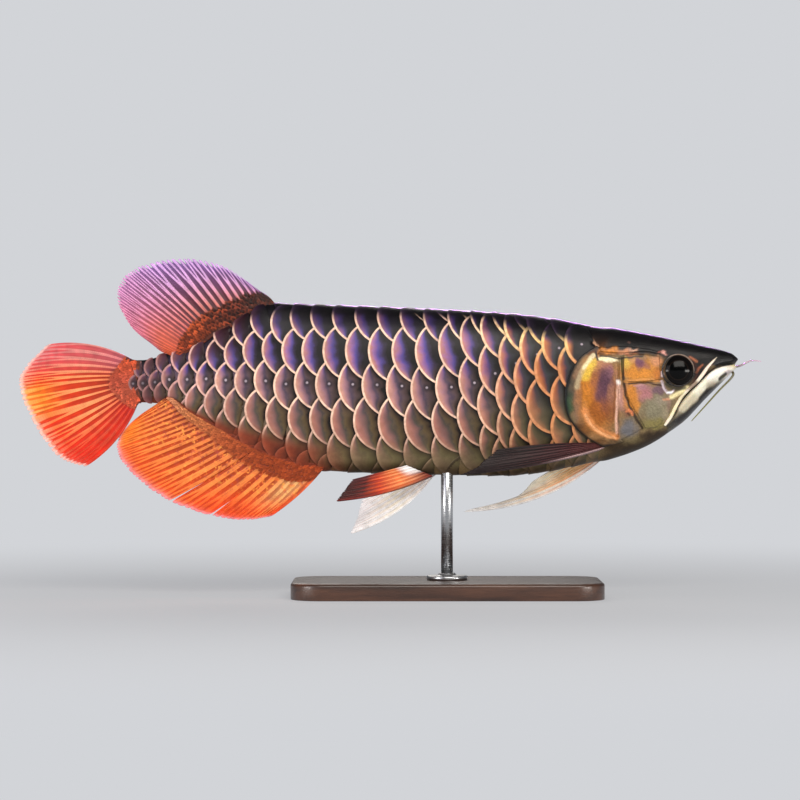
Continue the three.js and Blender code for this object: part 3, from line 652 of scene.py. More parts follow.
def scale_piece(name, side, rows):
    """One flank's scales of some rows. A scale is the rear sector of a disc on polar rings. It tilts by a
    fixed slope along the body, so that one set further forward always lies over its neighbours, and its two
    ends tuck under them. cell runs from 0 at its own rim to 1 at the rim of whichever scale covers it."""
    numbers = [ROW_NAMES.index(row) for row in rows]
    chosen = np.isin(scales[:, 0], numbers)
    if side > 0:
        chosen &= ~np.isin(scales[:, 0], MEDIAN_ROWS)
    row, x0, share0, _, radius, rank, pitch = scales[chosen].T
    inverse = scale_frames(side)[chosen][:, :, :, None, None]
    gap = row_width(x0) * half_girth(x0)
    reach = np.arcsin(np.clip(1.06 * gap / radius, 0.8, 0.99))[:, None, None]
    below = np.array([ROW_SINK[ROW_NAMES[int(number)]] for number in row])[:, None, None]
    turn, ring = np.meshgrid(np.linspace(-1, 1, SCALE_ACROSS), SCALE_RINGS, indexing="ij")
    size = radius[:, None, None]
    ahead = size * (1 - ring * np.cos(turn * reach))
    down = size * ring * np.sin(turn * reach)
    step_x = inverse[:, 0, 0] * ahead + inverse[:, 0, 1] * down
    x = x0[:, None, None] + step_x
    share = share0[:, None, None] + inverse[:, 1, 0] * ahead + inverse[:, 1, 1] * down
    edge = size * (1 - ring)
    rise = RIM_RISE * np.exp(-edge / RISE_WIDTH) - RIM_FALL * np.clip(1 - edge / FALL_WIDTH, 0, 1) ** 2
    rise = rise * step(1.0, 0.7, np.abs(turn))
    tuck = END_TUCK * step(0.82, 1.0, np.abs(turn))
    lift = SCALE_TOP - SCALE_SLOPE * step_x + rise - tuck - below
    thick = SCALE_THICK * (0.35 + 0.65 * np.clip(edge / 0.6, 0, 1))
    tops = on_body(x, share, lift, side)
    bottoms = on_body(x, share, lift - thick, side)
    cell = scale_cells(chosen, side, x, share, edge, tops[..., 2])
    disc = np.stack([ahead, down, np.broadcast_to(size, ahead.shape)], axis=-1)
    points, quads = solid_sheets(tops, bottoms)

    def both(values):
        spread = np.broadcast_to(values, ahead.shape + values.shape[3:])
        flat = spread.reshape(len(x0), -1, *values.shape[3:])
        return np.concatenate([flat, flat], axis=1)

    own = np.random.default_rng(5 + side).random(len(x0))
    attributes = {
        "cell": both(cell),
        "girth": both(np.abs(share)),
        "own": both(own[:, None, None]),
        "pore": both(np.where(row == LINE_ROW, pore_share(x0) * pitch, -40)[:, None, None]),
        "disc": both(disc),
    }
    left = ((rank + 0.5) / MAP_COLUMNS)[:, None, None]
    low = ((np.searchsorted(np.sort(numbers), row) + 0.5) / len(rows))[:, None, None]
    u = left + (ahead / size * 2 - 1) * 0.4 / MAP_COLUMNS
    v = low + down / size * 0.46 / len(rows)
    hidden = left + (0.46 + 0.02 * ahead / size) / MAP_COLUMNS
    uv = np.stack([
        np.concatenate([u.reshape(len(x0), -1), hidden.reshape(len(x0), -1)], axis=1),
        np.concatenate([v.reshape(len(x0), -1)] * 2, axis=1),
    ], axis=-1)
    return make_mesh(name, points, quads, None, attributes, uv)


def scale_cells(chosen, side, x, share, edge, height):
    """How far a point lies from its own rim towards the covering rim: own distance over the sum of both,
    where the covering distance is the least, over the scales at a higher level, of how far outside its
    disc. The gill cover counts as one of them."""
    frames = np.linalg.inv(scale_frames(side))
    row, all_x, all_share, _, all_radius = scales.T[:5]
    level = SCALE_SLOPE * all_x - np.array(list(ROW_SINK.values()))[row.astype(int)]
    cover = np.maximum(gill_x(height) + 2 - x, 0)
    for i, mine in enumerate(np.flatnonzero(chosen)):
        near = (level > level[mine] + 0.02) & (np.abs(all_x - all_x[mine]) < NEAR_X)
        near &= np.abs(all_share - all_share[mine]) < NEAR_SHARE
        for other in np.flatnonzero(near):
            run, fall = x[i] - all_x[other], share[i] - all_share[other]
            ahead = frames[other, 0, 0] * run + frames[other, 0, 1] * fall - all_radius[other]
            down = frames[other, 1, 0] * run + frames[other, 1, 1] * fall
            cover[i] = np.minimum(cover[i], np.hypot(ahead, down) - all_radius[other])
    cover = np.maximum(cover, 0)
    return edge / (edge + cover + 0.01)


def scale_material():
    """Blends from rim to core, chosen by the place round the girth, with a pale rim line of even width, a
    golden turn towards the head, growth rings round the disc's middle and a white pore on the lateral
    line. The near-black end of each blend, next to the covering rim, is painted shadow under the overlapping
    scale on top of the core's own dark pigment, and a near-black band behind the gill cover's upper edge is
    painted shadow as well."""
    material, tree, shader = new_material("scale_enamel", Roughness=0.42, Metallic=0.1,
                                          Specular_IOR_Level=0.26, Coat_Weight=0.08, Coat_Roughness=0.2)

    def distance(x, y):
        offset = add(tree, "CombineXYZ", {0: x, 1: y}).outputs[0]
        return add(tree, "VectorMath", {0: offset}, operation="LENGTH").outputs["Value"]

    cell, girth, own, pore_at = (stored(tree, name) for name in ("cell", "girth", "own", "pore"))
    disc = stored(tree, "disc", "Vector")
    ahead, fall, radius = (add(tree, "SeparateXYZ", {0: disc}).outputs[k] for k in range(3))
    middle = distance(maths(tree, "SUBTRACT", ahead, radius), fall)
    edge = maths(tree, "SUBTRACT", radius, middle)
    along = add(tree, "SeparateXYZ", {0: add(tree, "TexCoord").outputs["Object"]}).outputs["X"]
    patches = noise(tree, 260, 4.0)
    wander = times(tree, maths(tree, "SUBTRACT", noise(tree, 130, 3.0), 0.5), 0.45)
    depth = maths(tree, "ADD", cell, wander, clamp=True)

    # The dark end of every ramp, where cell nears 1 by the covering rim, is painted shadow under the
    # overlapping scale over the core's own dark pigment.
    black = ramp(tree, depth, [(0.0, "#3A2A40"), (0.2, "#1C1222"), (0.5, "#0C080E"), (1.0, "#040304")])
    violet = ramp(tree, depth, [(0.0, "#CC947C"), (0.14, "#AC7474"), (0.28, "#8A5E8C"), (0.46, "#4E4084"),
                                (0.62, "#2A2038"), (0.76, "#0C060A"), (1.0, "#040203")])
    dusk = ramp(tree, depth, [(0.0, "#8E5E66"), (0.13, "#624060"), (0.33, "#34245A"), (0.56, "#120C1A"),
                              (1.0, "#040304")])
    slate = ramp(tree, depth, [(0.0, "#D09A82"), (0.18, "#B88478"), (0.36, "#926A74"), (0.54, "#4C3E4E"),
                               (0.7, "#503E40"), (0.84, "#382A26"), (0.93, "#100808"), (1.0, "#060303")])
    rose = ramp(tree, depth, [(0.0, "#BC826C"), (0.2, "#A26C60"), (0.38, "#7C5854"), (0.55, "#4A423C"),
                              (0.72, "#56462E"), (0.87, "#3E3020"), (0.95, "#160C08"), (1.0, "#0A0504")])
    olive = ramp(tree, depth, [(0.0, "#8A7458"), (0.3, "#75624A"), (0.7, "#62593C"), (1.0, "#3A3020")])
    gold = ramp(tree, depth, [(0.0, "#DC9048"), (0.18, "#B86C38"), (0.36, "#804630"), (0.52, "#3C3038"),
                              (0.7, "#262A2C"), (0.84, "#140E0A"), (1.0, "#050303")])
    low_gold = ramp(tree, depth, [(0.0, "#B87C4E"), (0.25, "#8C6040"), (0.55, "#5A4C36"), (0.82, "#363422"),
                                  (1.0, "#160E0A")])
    gold = mix(tree, span(tree, girth, 0.45, 0.66), gold, low_gold)
    rust = ramp(tree, depth, [(0.0, "#94442C"), (0.3, "#80341E"), (1.0, "#4E2012")])
    maroon = ramp(tree, depth, [(0.0, "#6A3A3C"), (0.35, "#3E1C24"), (1.0, "#180A0C")])
    plum = ramp(tree, depth, [(0.0, "#7A4C4E"), (0.4, "#4C2A30"), (1.0, "#221014")])

    front = span(tree, along, -0.005, 0.085)
    tail = span(tree, along, -0.15, -0.245)
    stalk = span(tree, along, -0.215, -0.252)
    dark_to = maths(tree, "ADD", span(tree, along, 0.02, 0.1, 0.11, 0.2), times(tree, tail, -0.08))
    rise = maths(tree, "SUBTRACT", girth, dark_to)
    gold_share = times(tree, front, span(tree, girth, 0.92, 0.7, 0.0, 0.95))
    rusty = times(tree, span(tree, along, -0.07, -0.13), span(tree, girth, 0.76, 0.87, 0.0, 0.95))
    colour = black
    for cover, layer in (
        (span(tree, rise, -0.02, 0.04), dusk),
        (span(tree, rise, 0.05, 0.13), violet),
        (span(tree, girth, 0.36, 0.47), slate),
        (span(tree, girth, 0.54, 0.68), rose),
        (span(tree, girth, 0.74, 0.88), olive),
        (span(tree, girth, 0.87, 0.96, 0.0, 0.8), rgba("#261A0E")),
        (times(tree, gold_share, span(tree, rise, 0.0, 0.05)), gold),
        (rusty, rust),
        (times(tree, span(tree, along, -0.15, -0.19), span(tree, girth, 0.36, 0.2, 0.0, 0.85)), maroon),
        (times(tree, stalk, 0.85), plum),
        # Painted shadow: a near-black band on the upper scales just behind the gill cover's free edge.
        (times(tree, span(tree, along, 0.0995, 0.106), span(tree, girth, 0.36, 0.3)), rgba("#0B0A0C")),
    ):
        colour = mix(tree, cover, colour, layer)

    inwards = maths(tree, "DIVIDE", edge, span(tree, front, 0.0, 1.0, 2.25, 3.2))
    rim = span(tree, maths(tree, "SUBTRACT", 1.0, inwards, clamp=True), 0.02, 0.5)
    for fade in (
        span(tree, girth, 0.87, 0.73, 0.04, 1.0),
        span(tree, girth, 0.8, 0.6, 0.7, 1.0),
        span(tree, rusty, 0.1, 0.9, 1.0, 0.25),
        span(tree, rise, -0.03, 0.05, 0.0, 1.0),
        span(tree, patches, 0.3, 0.6, 0.75, 1.0),
        maths(tree, "SUBTRACT", 1.0, times(tree, stalk, 0.8)),
    ):
        rim = times(tree, rim, fade)
    front_rim = mix(tree, span(tree, girth, 0.18, 0.36), rgba("#F2CE88"), rgba("#C88658"))
    rim_tint = mix(tree, front, rgba("#ECC6AE"), front_rim)
    rim_tint = mix(tree, tail, rim_tint, rgba("#D2A09C"))
    colour = mix(tree, rim, colour, rim_tint)

    from_pore = distance(maths(tree, "SUBTRACT", ahead, pore_at), fall)
    halo = span(tree, from_pore, 4.6, 1.4)
    colour = mix(tree, times(tree, halo, 0.65), colour, rgba("#1E1A20"))
    pore = span(tree, from_pore, 1.5, 0.5)
    pore_share = times(tree, pore, span(tree, stalk, 0.3, 1.0, 0.75, 0.25))
    colour = mix(tree, pore_share, colour, rgba("#B4A6B0"))

    shade = times(tree, span(tree, patches, 0.3, 0.7, 0.82, 1.14), span(tree, own, 0, 1, 0.92, 1.08))
    shaded(tree, shader, colour, shade)
    rings = maths(tree, "SINE", times(tree, middle, 11.0))
    height = maths(tree, "ADD", times(tree, rings, 0.35), noise(tree, 2200, 2.0))
    raised = maths(tree, "ADD", height, times(tree, pore, 4.0))
    tree.links.new(bump(tree, raised, 0.00006), shader.inputs["Normal"])
    tree.links.new(span(tree, patches, 0.3, 0.7, 0.34, 0.5), shader.inputs["Roughness"])
    return material


scale_finish = scale_material()
SCALE_PIECES = {
    "scales_back_": ["ridge", "back", "upper"],
    "scales_line_": ["line", "lower"],
    "scales_belly_": ["flank", "small", "belly", "throat", "keel"],
}
for side_name, side in SIDES:
    for name, rows in SCALE_PIECES.items():
        wear(scale_piece(name + side_name, side, rows), scale_finish)

# The head's bony plates: thin bones under the skin of the cheek and the gill cover, each with a rounded
# edge and a seam round it, painted darker along the seam as shade in its groove. The gill cover ends in a
# soft flap that hangs free over the gill opening.
PLATE_UNDER = -2.4
PLATE_THIN = 0.25
FAN_X, FAN_Z = 143, 199


def through(points, at):
    """A curve through points, in Catmull-Rom pieces of equal parameter length, with its ends mirrored."""
    p = np.array(points, float)
    p = np.concatenate([2 * p[:1] - p[1:2], p, 2 * p[-1:] - p[-2:-1]])
    where = np.clip(at, 0, 1) * (len(points) - 1)
    i = np.clip(where.astype(int), 0, len(points) - 2)
    t = (where - i)[..., None]
    a, b, c, d = p[i], p[i + 1], p[i + 2], p[i + 3]
    return 0.5 * (2 * b + (c - a) * t + (2 * a - 5 * b + 4 * c - d) * t**2 + (3 * b - a - 3 * c + d) * t**3)


def crowded(count):
    """Shares from 0 to 1, closer together near both ends, for rounded borders."""
    return 0.5 - 0.5 * np.cos(np.linspace(0, np.pi, count))


def plate(first, second, rows, columns, rise, roll, crown=0.0, tilt=0.0):
    """A plate ruled between two side-view edges. Its top stands at rise, rounds down over the width roll at
    every border, bulges by crown in the middle, and gains tilt towards the second edge. Gives x, z, share
    of the girth, lift, distance from the border and the two shares along and across, on a grid."""
    u, v = np.meshgrid(crowded(rows), crowded(columns), indexing="ij")
    one, two = through(first, u), through(second, u)
    place = one + (two - one) * v[..., None]
    across = np.linalg.norm(two - one, axis=-1)
    length = np.linalg.norm(np.diff(through(first, np.linspace(0, 1, 60)), axis=0), axis=1).sum()
    border = np.minimum(np.minimum(v, 1 - v) * across, np.minimum(u, 1 - u) * length)
    round_off = np.sqrt(1 - np.clip(1 - border / roll, 0, 1) ** 2)
    lift = rise * round_off - 0.5 * (1 - round_off) + crown * 16 * u * (1 - u) * v * (1 - v) + tilt * v
    x, z = place[..., 0], place[..., 1]
    return x, z, share_at(x, z), lift, border, u, v


def plate_piece(name, side, plates, finish, replaced=()):
    """Several plates as closed sheets in one piece, each given as its grid and its colours. The underside
    lies flat at PLATE_UNDER, or a thin bone's depth below the top where that is lower."""
    every_point, every_quad, every_paint, seen = [], [], [], 0
    for (x, _, share, lift, *_), colours in plates:
        tops = on_body(x, share, lift, side)
        bottoms = on_body(x, share, np.minimum(lift - PLATE_THIN, PLATE_UNDER), side)
        points, quads = solid_sheets(tops[None], bottoms[None])
        every_point.append(points[0])
        every_quad.append(quads + seen)
        every_paint.append(np.concatenate([colours.reshape(-1, 3)] * 2))
        seen += len(points[0])
    piece = make_mesh(name, *(np.concatenate(every) for every in (every_point, every_quad, every_paint)))
    return wear(piece, finish, replaced)


COVER_FRONT = [[142.1, 201.5], [141.6, 181.9], [141.3, 157], [141.4, 130.6]]
COVER_REAR = [[121.7, 204.4], [113.3, 195.2], [108.3, 181.9], [107.5, 167.8], [110.9, 156.2], [118.5, 145.4],
              [129.5, 136.6], [141.2, 130.4]]
FLAP_FRONT = [[128, 206], [119, 195.2], [114, 181.9], [113, 167.8], [116.5, 157], [124, 147.5],
              [134.5, 139.5], [147, 130.3]]
FLAP_REAR = [[124.3, 210.2], [111.7, 201.9], [103.3, 190.2], [98.3, 176.9], [97.5, 164.5], [99.7, 152.9],
             [105.6, 142.9], [115.4, 134.1], [129.9, 125.7]]
STIRRUP_FRONT = [[144.6, 201.5], [145, 186.1], [147, 172], [151.2, 161.2], [156.8, 152], [163, 141.2]]
STIRRUP_REAR = [[142.9, 201.2], [142.5, 181.9], [142.2, 165.3], [142.2, 148.7], [142.6, 130.5]]
UPPER_CHEEK_TOP = [[146, 202.3], [160, 203.3], [176.4, 201.5]]
UPPER_CHEEK_LOW = [[146.3, 180.6], [159.9, 179.9], [177.4, 181.8]]
LOWER_CHEEK_REAR = [[147, 178.8], [149.2, 169.5], [153.4, 160.3], [159, 151.6], [165.2, 141.2]]
LOWER_CHEEK_FRONT = [[177.8, 180.2], [183.5, 170.3], [187, 162], [184, 152], [175, 142]]
STRIP_TOP = [[126.5, 208.7], [143.5, 210.2], [164.3, 208.1], [177.7, 205.2]]
STRIP_LOW = [[127, 205], [143.3, 204], [164.2, 205], [177.6, 202.8]]

plate_finish = wet_paint("wet_bone", grain=1300, mottle=0.2, relief=0.0003, Roughness=0.36,
                         Specular_IOR_Level=0.25, Coat_Weight=0.1, Coat_Roughness=0.16)


def bone_colour(grid, seam=0.75, width=1.0):
    """The head's markings on a plate, darkened along its border as painted shade in the seam's groove."""
    colour = head_colour(grid[0], grid[1])
    # Painted shade: the plate darkens within width of its border, in the seam's groove.
    return colour * (1 - seam * step(width, 0.0, grid[4]))[..., None]


cover = plate(COVER_FRONT, COVER_REAR, 120, 66, 0.62, 2.4, crown=0.9)
fan_turn = np.arctan2(cover[1] - FAN_Z, cover[0] - FAN_X)
fan_far = np.hypot(cover[1] - FAN_Z, cover[0] - FAN_X)
grooves = np.sin(fan_turn * 34 + 1.2 * cloud(cover[0], cover[1], 12, 21))
beads = np.sin(fan_turn * 60) * np.sin(fan_far * 1.7)
cover_paint = bone_colour(cover, 0.35) * (1 + 0.05 * grooves + 0.07 * beads)[..., None]
flap = plate(FLAP_FRONT, FLAP_REAR, 120, 26, 0.3, 0.9, crown=0.2, tilt=0.55)
flap_edge = step(3.6, 0.4, flap[4]) * step(0.35, 0.75, flap[6])
flap_paint = laid(bone_colour(flap, 0.1), "#070A0C", 0.93 * flap_edge)
stirrup = plate(STIRRUP_REAR, STIRRUP_FRONT, 80, 20, 0.3, 1.2, crown=0.25)
upper_cheek = plate(UPPER_CHEEK_TOP, UPPER_CHEEK_LOW, 56, 42, 0.36, 1.6, crown=0.45)
lower_cheek = plate(LOWER_CHEEK_REAR, LOWER_CHEEK_FRONT, 72, 56, 0.25, 1.8, crown=0.3)
top_strip = plate(STRIP_TOP, STRIP_LOW, 80, 14, 0.2, 1.2)
cheek_plates = [(grid, bone_colour(grid, dark)) for grid, dark in
                ((stirrup, 0.3), (upper_cheek, 0.5), (lower_cheek, 0.25), (top_strip, 0.5))]

for side_name, side in SIDES:
    plate_piece("gill_cover_" + side_name, side, [(cover, cover_paint), (flap, flap_paint)], plate_finish,
                ["gill_cover_" + side_name])
    plate_piece("cheek_" + side_name, side, cheek_plates, plate_finish)

# The jaws: the upper jaw is a narrow cream strip of bone on each side, hinged below the eye. The lower jaw
# is a deep scoop that slants up to the lips, cream with two dark marks and painted shade along its underside,
# and closes against it in a cleft that is painted dark as shade.
STRIP_FRONT = [[224.6, 201], [220.7, 197.7], [216.2, 193.3], [212.5, 188.4], [209.2, 183.8], [206.1, 180],
               [201.1, 175.5], [196.8, 171.2], [193.3, 166.9], [190.7, 162.3], [188.2, 157.3],
               [185.7, 151.4], [183.3, 147.8], [181.1, 143.8]]
STRIP_REAR = [[225.2, 200.6], [222.1, 196.5], [218.2, 191.7], [214.9, 186.6], [211.4, 182], [207.9, 178.2],
              [202.7, 173.7], [198.6, 169.6], [195.5, 165.5], [193.1, 161.1], [190.6, 156.1],
              [187.9, 150.2], [185.3, 146.4], [182.5, 143]]

jaw_finish = wet_paint("wet_lip", grain=1500, mottle=0.1, relief=0.00015, Roughness=0.3,
                       Specular_IOR_Level=0.35, Coat_Weight=0.15, Coat_Roughness=0.1,
                       Subsurface_Weight=0.08, Subsurface_Scale=0.004)
strip = plate(STRIP_FRONT, STRIP_REAR, 110, 16, 0.55, 1.1, crown=0.3)
strip_paint = paint(strip[0], strip[1], linear("#EFE2CC"), [
    ("#F6DCC8", 217, 193, 9, 9, 0.8), ("#7A6250", 205, 177.5, 5.5, 4.5, 0.9),
    ("#C8BC94", 195, 167.5, 5, 5, 0.7), ("#EFE3B4", 189.5, 157, 4, 8, 0.8),
    ("#F2E8D0", 183.5, 146, 3, 3, 0.8), ("#8A7868", 224.4, 200.4, 1.6, 1.6, 0.7),
])
strip_paint = laid(strip_paint, "#2A1E14", 0.6 * step(0.6, 0.98, strip[6]))
for side_name, side in SIDES:
    plate_piece("upper_jaw_" + side_name, side, [(strip, strip_paint)], jaw_finish,
                ["upper_jaw_" + side_name])

JAW_BACK, JAW_FRONT = 181, 244.6
JAW_THIN, JAW_UNDER = 0.4, -2.2
LIP_GAP = 0.9
JAW_STROKES = [
    ("#0E0907", 1.4, 0.97, [[227, 183], [229.2, 185.1], [231.8, 187.5]]),
    ("#4A4420", 0.59, 0.8, [[228.8, 184.8], [231, 186.6]]),
    ("#120B08", 1.8, 0.95, [[210.9, 166.7], [213.8, 170], [216.7, 173.3]]),
    # Painted shade: a broad dark stroke along the lower border of the jaw's cream band.
    ("#120C0A", 3, 0.95, [[219.7, 173.3], [214.7, 167.1], [208.8, 161.2], [202.2, 155.4], [193.8, 149.2],
        [183.8, 141.7]]),
]
jaw_u, jaw_v = np.meshgrid(np.linspace(0, 1, 110) ** 0.9, crowded(110), indexing="ij")
jaw_x = JAW_BACK + (JAW_FRONT - JAW_BACK) * jaw_u
jaw_edge = share_at(jaw_x, mouth_height(jaw_x) - LIP_GAP)
jaw_share = jaw_edge + (2 - 2 * jaw_edge) * jaw_v
jaw_z = on_body(jaw_x, jaw_share)[..., 2]
jaw_border = np.minimum(jaw_v, 1 - jaw_v) * (2 - 2 * jaw_edge) * half_girth(jaw_x)
jaw_round = np.sqrt(1 - np.clip(1 - jaw_border / 2.4, 0, 1) ** 2)
jaw_hinge = step(0, 12 + 10 * jaw_v * (1 - jaw_v) * 4, jaw_x - JAW_BACK)
jaw_lip = np.exp(-(((jaw_border - 3.4) / 3) ** 2))
jaw_lift = (0.95 * jaw_round + 0.5 * jaw_lip) * jaw_hinge - 0.9 * (1 - jaw_hinge) - 1.2 * (1 - jaw_round)
jaw_top = on_body(jaw_x, jaw_share, jaw_lift)
jaw_under = on_body(jaw_x, jaw_share, np.minimum(jaw_lift - JAW_THIN, JAW_UNDER))
from_lip = jaw_border / np.maximum(half_girth(jaw_x) * (1 - jaw_edge), 1)
jaw_paint = paint(jaw_x, jaw_z, linear("#C2B8A0"), [
    ("#FBF6EA", 222, 188, 20, 6.5, 0.9), ("#F0EAD4", 208, 177, 8, 7, 0.9), ("#D0C6A8", 199, 163, 8, 9, 0.6),
    ("#8A7A6A", 223, 177, 7, 2.6, 0.6), ("#5E5038", 193, 150.5, 9, 4.5, 0.85),
    ("#E8DFA8", 239.5, 194.6, 3, 1.5, 0.8), ("#948088", 234.5, 188.5, 3, 2.4, 0.7),
], JAW_STROKES)
# Painted shade: the jaw's underside, turned away from the light, goes near black.
jaw_underside_shade = step(0.33, 0.64, from_lip) * step(238, 224, jaw_x)
jaw_paint = laid(jaw_paint, "#140D0A", 0.95 * jaw_underside_shade)
jaw_olive = step(9, 0, jaw_x - JAW_BACK) * step(0.1, 0.4, from_lip)
jaw_paint = laid(jaw_paint, "#4A4426", 0.9 * jaw_olive)
jaw_paint *= (1 + 0.06 * cloud(jaw_x, jaw_z, 1.6, 31))[..., None]
jaw_points, jaw_quads = solid_sheets(jaw_top[None], jaw_under[None])
jaw = make_mesh("lower_jaw", jaw_points, jaw_quads, np.concatenate([jaw_paint.reshape(-1, 3)] * 2))
wear(jaw, jaw_finish, ["lower_jaw"])

# The eyes: large clear balls that stand a little proud of the cheek, with a black pupil and a near-black
# iris under a pale arc of painted highlight. A soft dark rim of skin holds each, with a painted highlight
# along its upper side.
EYE_X, EYE_Z = 192.0, 189.8
EYE_RADIUS = 13.4
EYE_PROUD = 3.6
EYE_DEPTH = 8.0
RIM_RADIUS = 13.2
RIM_THICK = 0.55
RIM_AROUND, RIM_SECTION = 96, 14


def eye_material():
    """Rings of colour by the distance from the eye's middle: pupil, thin brown ring, near-black iris, and a
    painted highlight, a pale arc kept to the upper edge."""
    material, tree, shader = new_material("eye_wet", Roughness=0.14, Specular_IOR_Level=0.12,
                                          Coat_Weight=0.05, Coat_Roughness=0.03)
    out = stored(tree, "out")
    height = add(tree, "SeparateXYZ", {0: add(tree, "TexCoord").outputs["Object"]}).outputs["Z"]
    colour = ramp(tree, out, [(0.0, "#010101"), (0.56, "#020202"), (0.6, "#1C130D"), (0.64, "#0A0706"),
                              (0.84, "#080606"), (0.9, "#14100E"), (1.0, "#050404")])
    # Painted highlight: the pale arc of ring shows only on the upper edge, where high lets it through.
    ring = ramp(tree, out, [(0.0, "#000000"), (0.91, "#000000"), (0.945, "#6A5A4E"), (0.975, "#8A7868"),
                            (1.0, "#201A16")])
    high = span(tree, height, (EYE_Z + 3) * MM, (EYE_Z + 10) * MM)
    colour = mix(tree, high, colour, ring, "LIGHTEN")
    tree.links.new(colour, shader.inputs["Base Color"])
    return material


eye_finish = eye_material()
rim_finish = wet_paint("eye_rim", grain=1500, mottle=0.15, relief=0.0001, Roughness=0.3, Coat_Weight=0.08,
                       Coat_Roughness=0.1)
eye_flank = -on_body(EYE_X, share_at(EYE_X, EYE_Z))[1]
eye_out, eye_turn = np.meshgrid(np.linspace(0, np.pi, 44), np.linspace(0, 2 * np.pi, 64, endpoint=False),
                                indexing="ij")
for side_name, side in SIDES:
    middle_y = side * (eye_flank - EYE_DEPTH + EYE_PROUD)
    ball = np.stack([
        EYE_X + EYE_RADIUS * np.sin(eye_out) * np.cos(eye_turn),
        middle_y + side * EYE_DEPTH * np.cos(eye_out),
        EYE_Z + EYE_RADIUS * np.sin(eye_out) * np.sin(eye_turn),
    ], axis=-1)
    ball_quads = outward(ball, grid_quads(*eye_out.shape, wrap=True))
    eye = make_mesh("eye_" + side_name, ball, ball_quads, None, {"out": np.sin(eye_out)})
    wear(eye, eye_finish, ["eye_" + side_name])

    around, section = np.meshgrid(np.linspace(0, 2 * np.pi, RIM_AROUND, endpoint=False),
                                  np.linspace(0, 2 * np.pi, RIM_SECTION, endpoint=False), indexing="ij")
    reach = RIM_RADIUS + RIM_THICK * np.cos(section)
    rim_x = EYE_X + reach * np.cos(around)
    rim_z = EYE_Z + reach * np.sin(around)
    rim_y = -on_body(rim_x, share_at(rim_x, rim_z))[..., 1] + RIM_THICK * np.sin(section) * 0.9 - 0.15
    rim_points = np.stack([rim_x, side * rim_y, rim_z], axis=-1)
    first = np.arange(RIM_SECTION)
    last = first + (RIM_AROUND - 1) * RIM_SECTION
    closing = np.stack([last, first, np.roll(first, -1), np.roll(last, -1)], axis=-1)
    rim_quads = np.concatenate([grid_quads(RIM_AROUND, RIM_SECTION, wrap=True), closing])
    rim_quads = outward(rim_points, rim_quads)
    # Painted highlight along the upper outer side of the rim.
    rim_painted_highlight = step(0.2, 0.7, np.cos(around - 1.1)) * step(1.0, 0.2, np.cos(section + 0.4))
    rim_paint = laid(linear("#0C0909"), "#7E6A5C", rim_painted_highlight)
    rim = make_mesh("eye_rim_" + side_name, rim_points, rim_quads, rim_paint)
    wear(rim, rim_finish)

# The barbels: two soft feelers at the tip of the lower jaw, tapering to a point. One trails back under the
# chin and the other reaches forwards.
BARBELS = {
    "barbel_right": [[238, -4, 190], [239, -7, 185], [227, -9.5, 172.5], [213, -10, 157], [204, -9, 147]],
    "barbel_left": [[240, 4, 192.5], [247, 5.5, 194], [256, 7, 198], [265, 8.5, 197.5]],
}
BARBEL_ROOT, BARBEL_TIP = 1.15, 0.35

barbel_finish = wet_paint("wet_feeler", grain=1800, mottle=0.1, relief=0.0001, Roughness=0.35,
                          Coat_Weight=0.3)
for name, route in BARBELS.items():
    along, around = np.meshgrid(np.linspace(0, 1, 60), np.linspace(0, 2 * np.pi, 14, endpoint=False),
                                indexing="ij")
    line = through(route, along)
    ahead = through(route, np.clip(along + 0.01, 0, 1)) - through(route, np.clip(along - 0.01, 0, 1))
    ahead /= np.linalg.norm(ahead, axis=-1, keepdims=True)
    sideways = np.cross(ahead, [0, 1, 0])
    sideways /= np.linalg.norm(sideways, axis=-1, keepdims=True)
    upright = np.cross(sideways, ahead)
    tapered = BARBEL_ROOT + (BARBEL_TIP - BARBEL_ROOT) * along
    thick = (tapered * np.sqrt(1 - np.clip(along * 30 - 29, 0, 1) ** 2))[..., None]
    points = line + thick * (sideways * np.cos(around)[..., None] + upright * np.sin(around)[..., None])
    colours = laid(linear("#3A3222"), "#726E26" if name == "barbel_right" else "#D8B4CC", along)
    barbel = make_mesh(name, points, outward(points, grid_quads(*along.shape, wrap=True)), colours)
    wear(barbel, barbel_finish, [name])

# The fins: fans of jointed bony rays, each forking towards its tip, with a thin web stretched between them.
# The unpaired fins rise from fleshy scaled bases. The web falls a little short of the ray tips.
RAY_SAMPLES = 14
WEB_HALF = 0.18
RAY_HALF, RAY_THINS = 0.55, 0.32


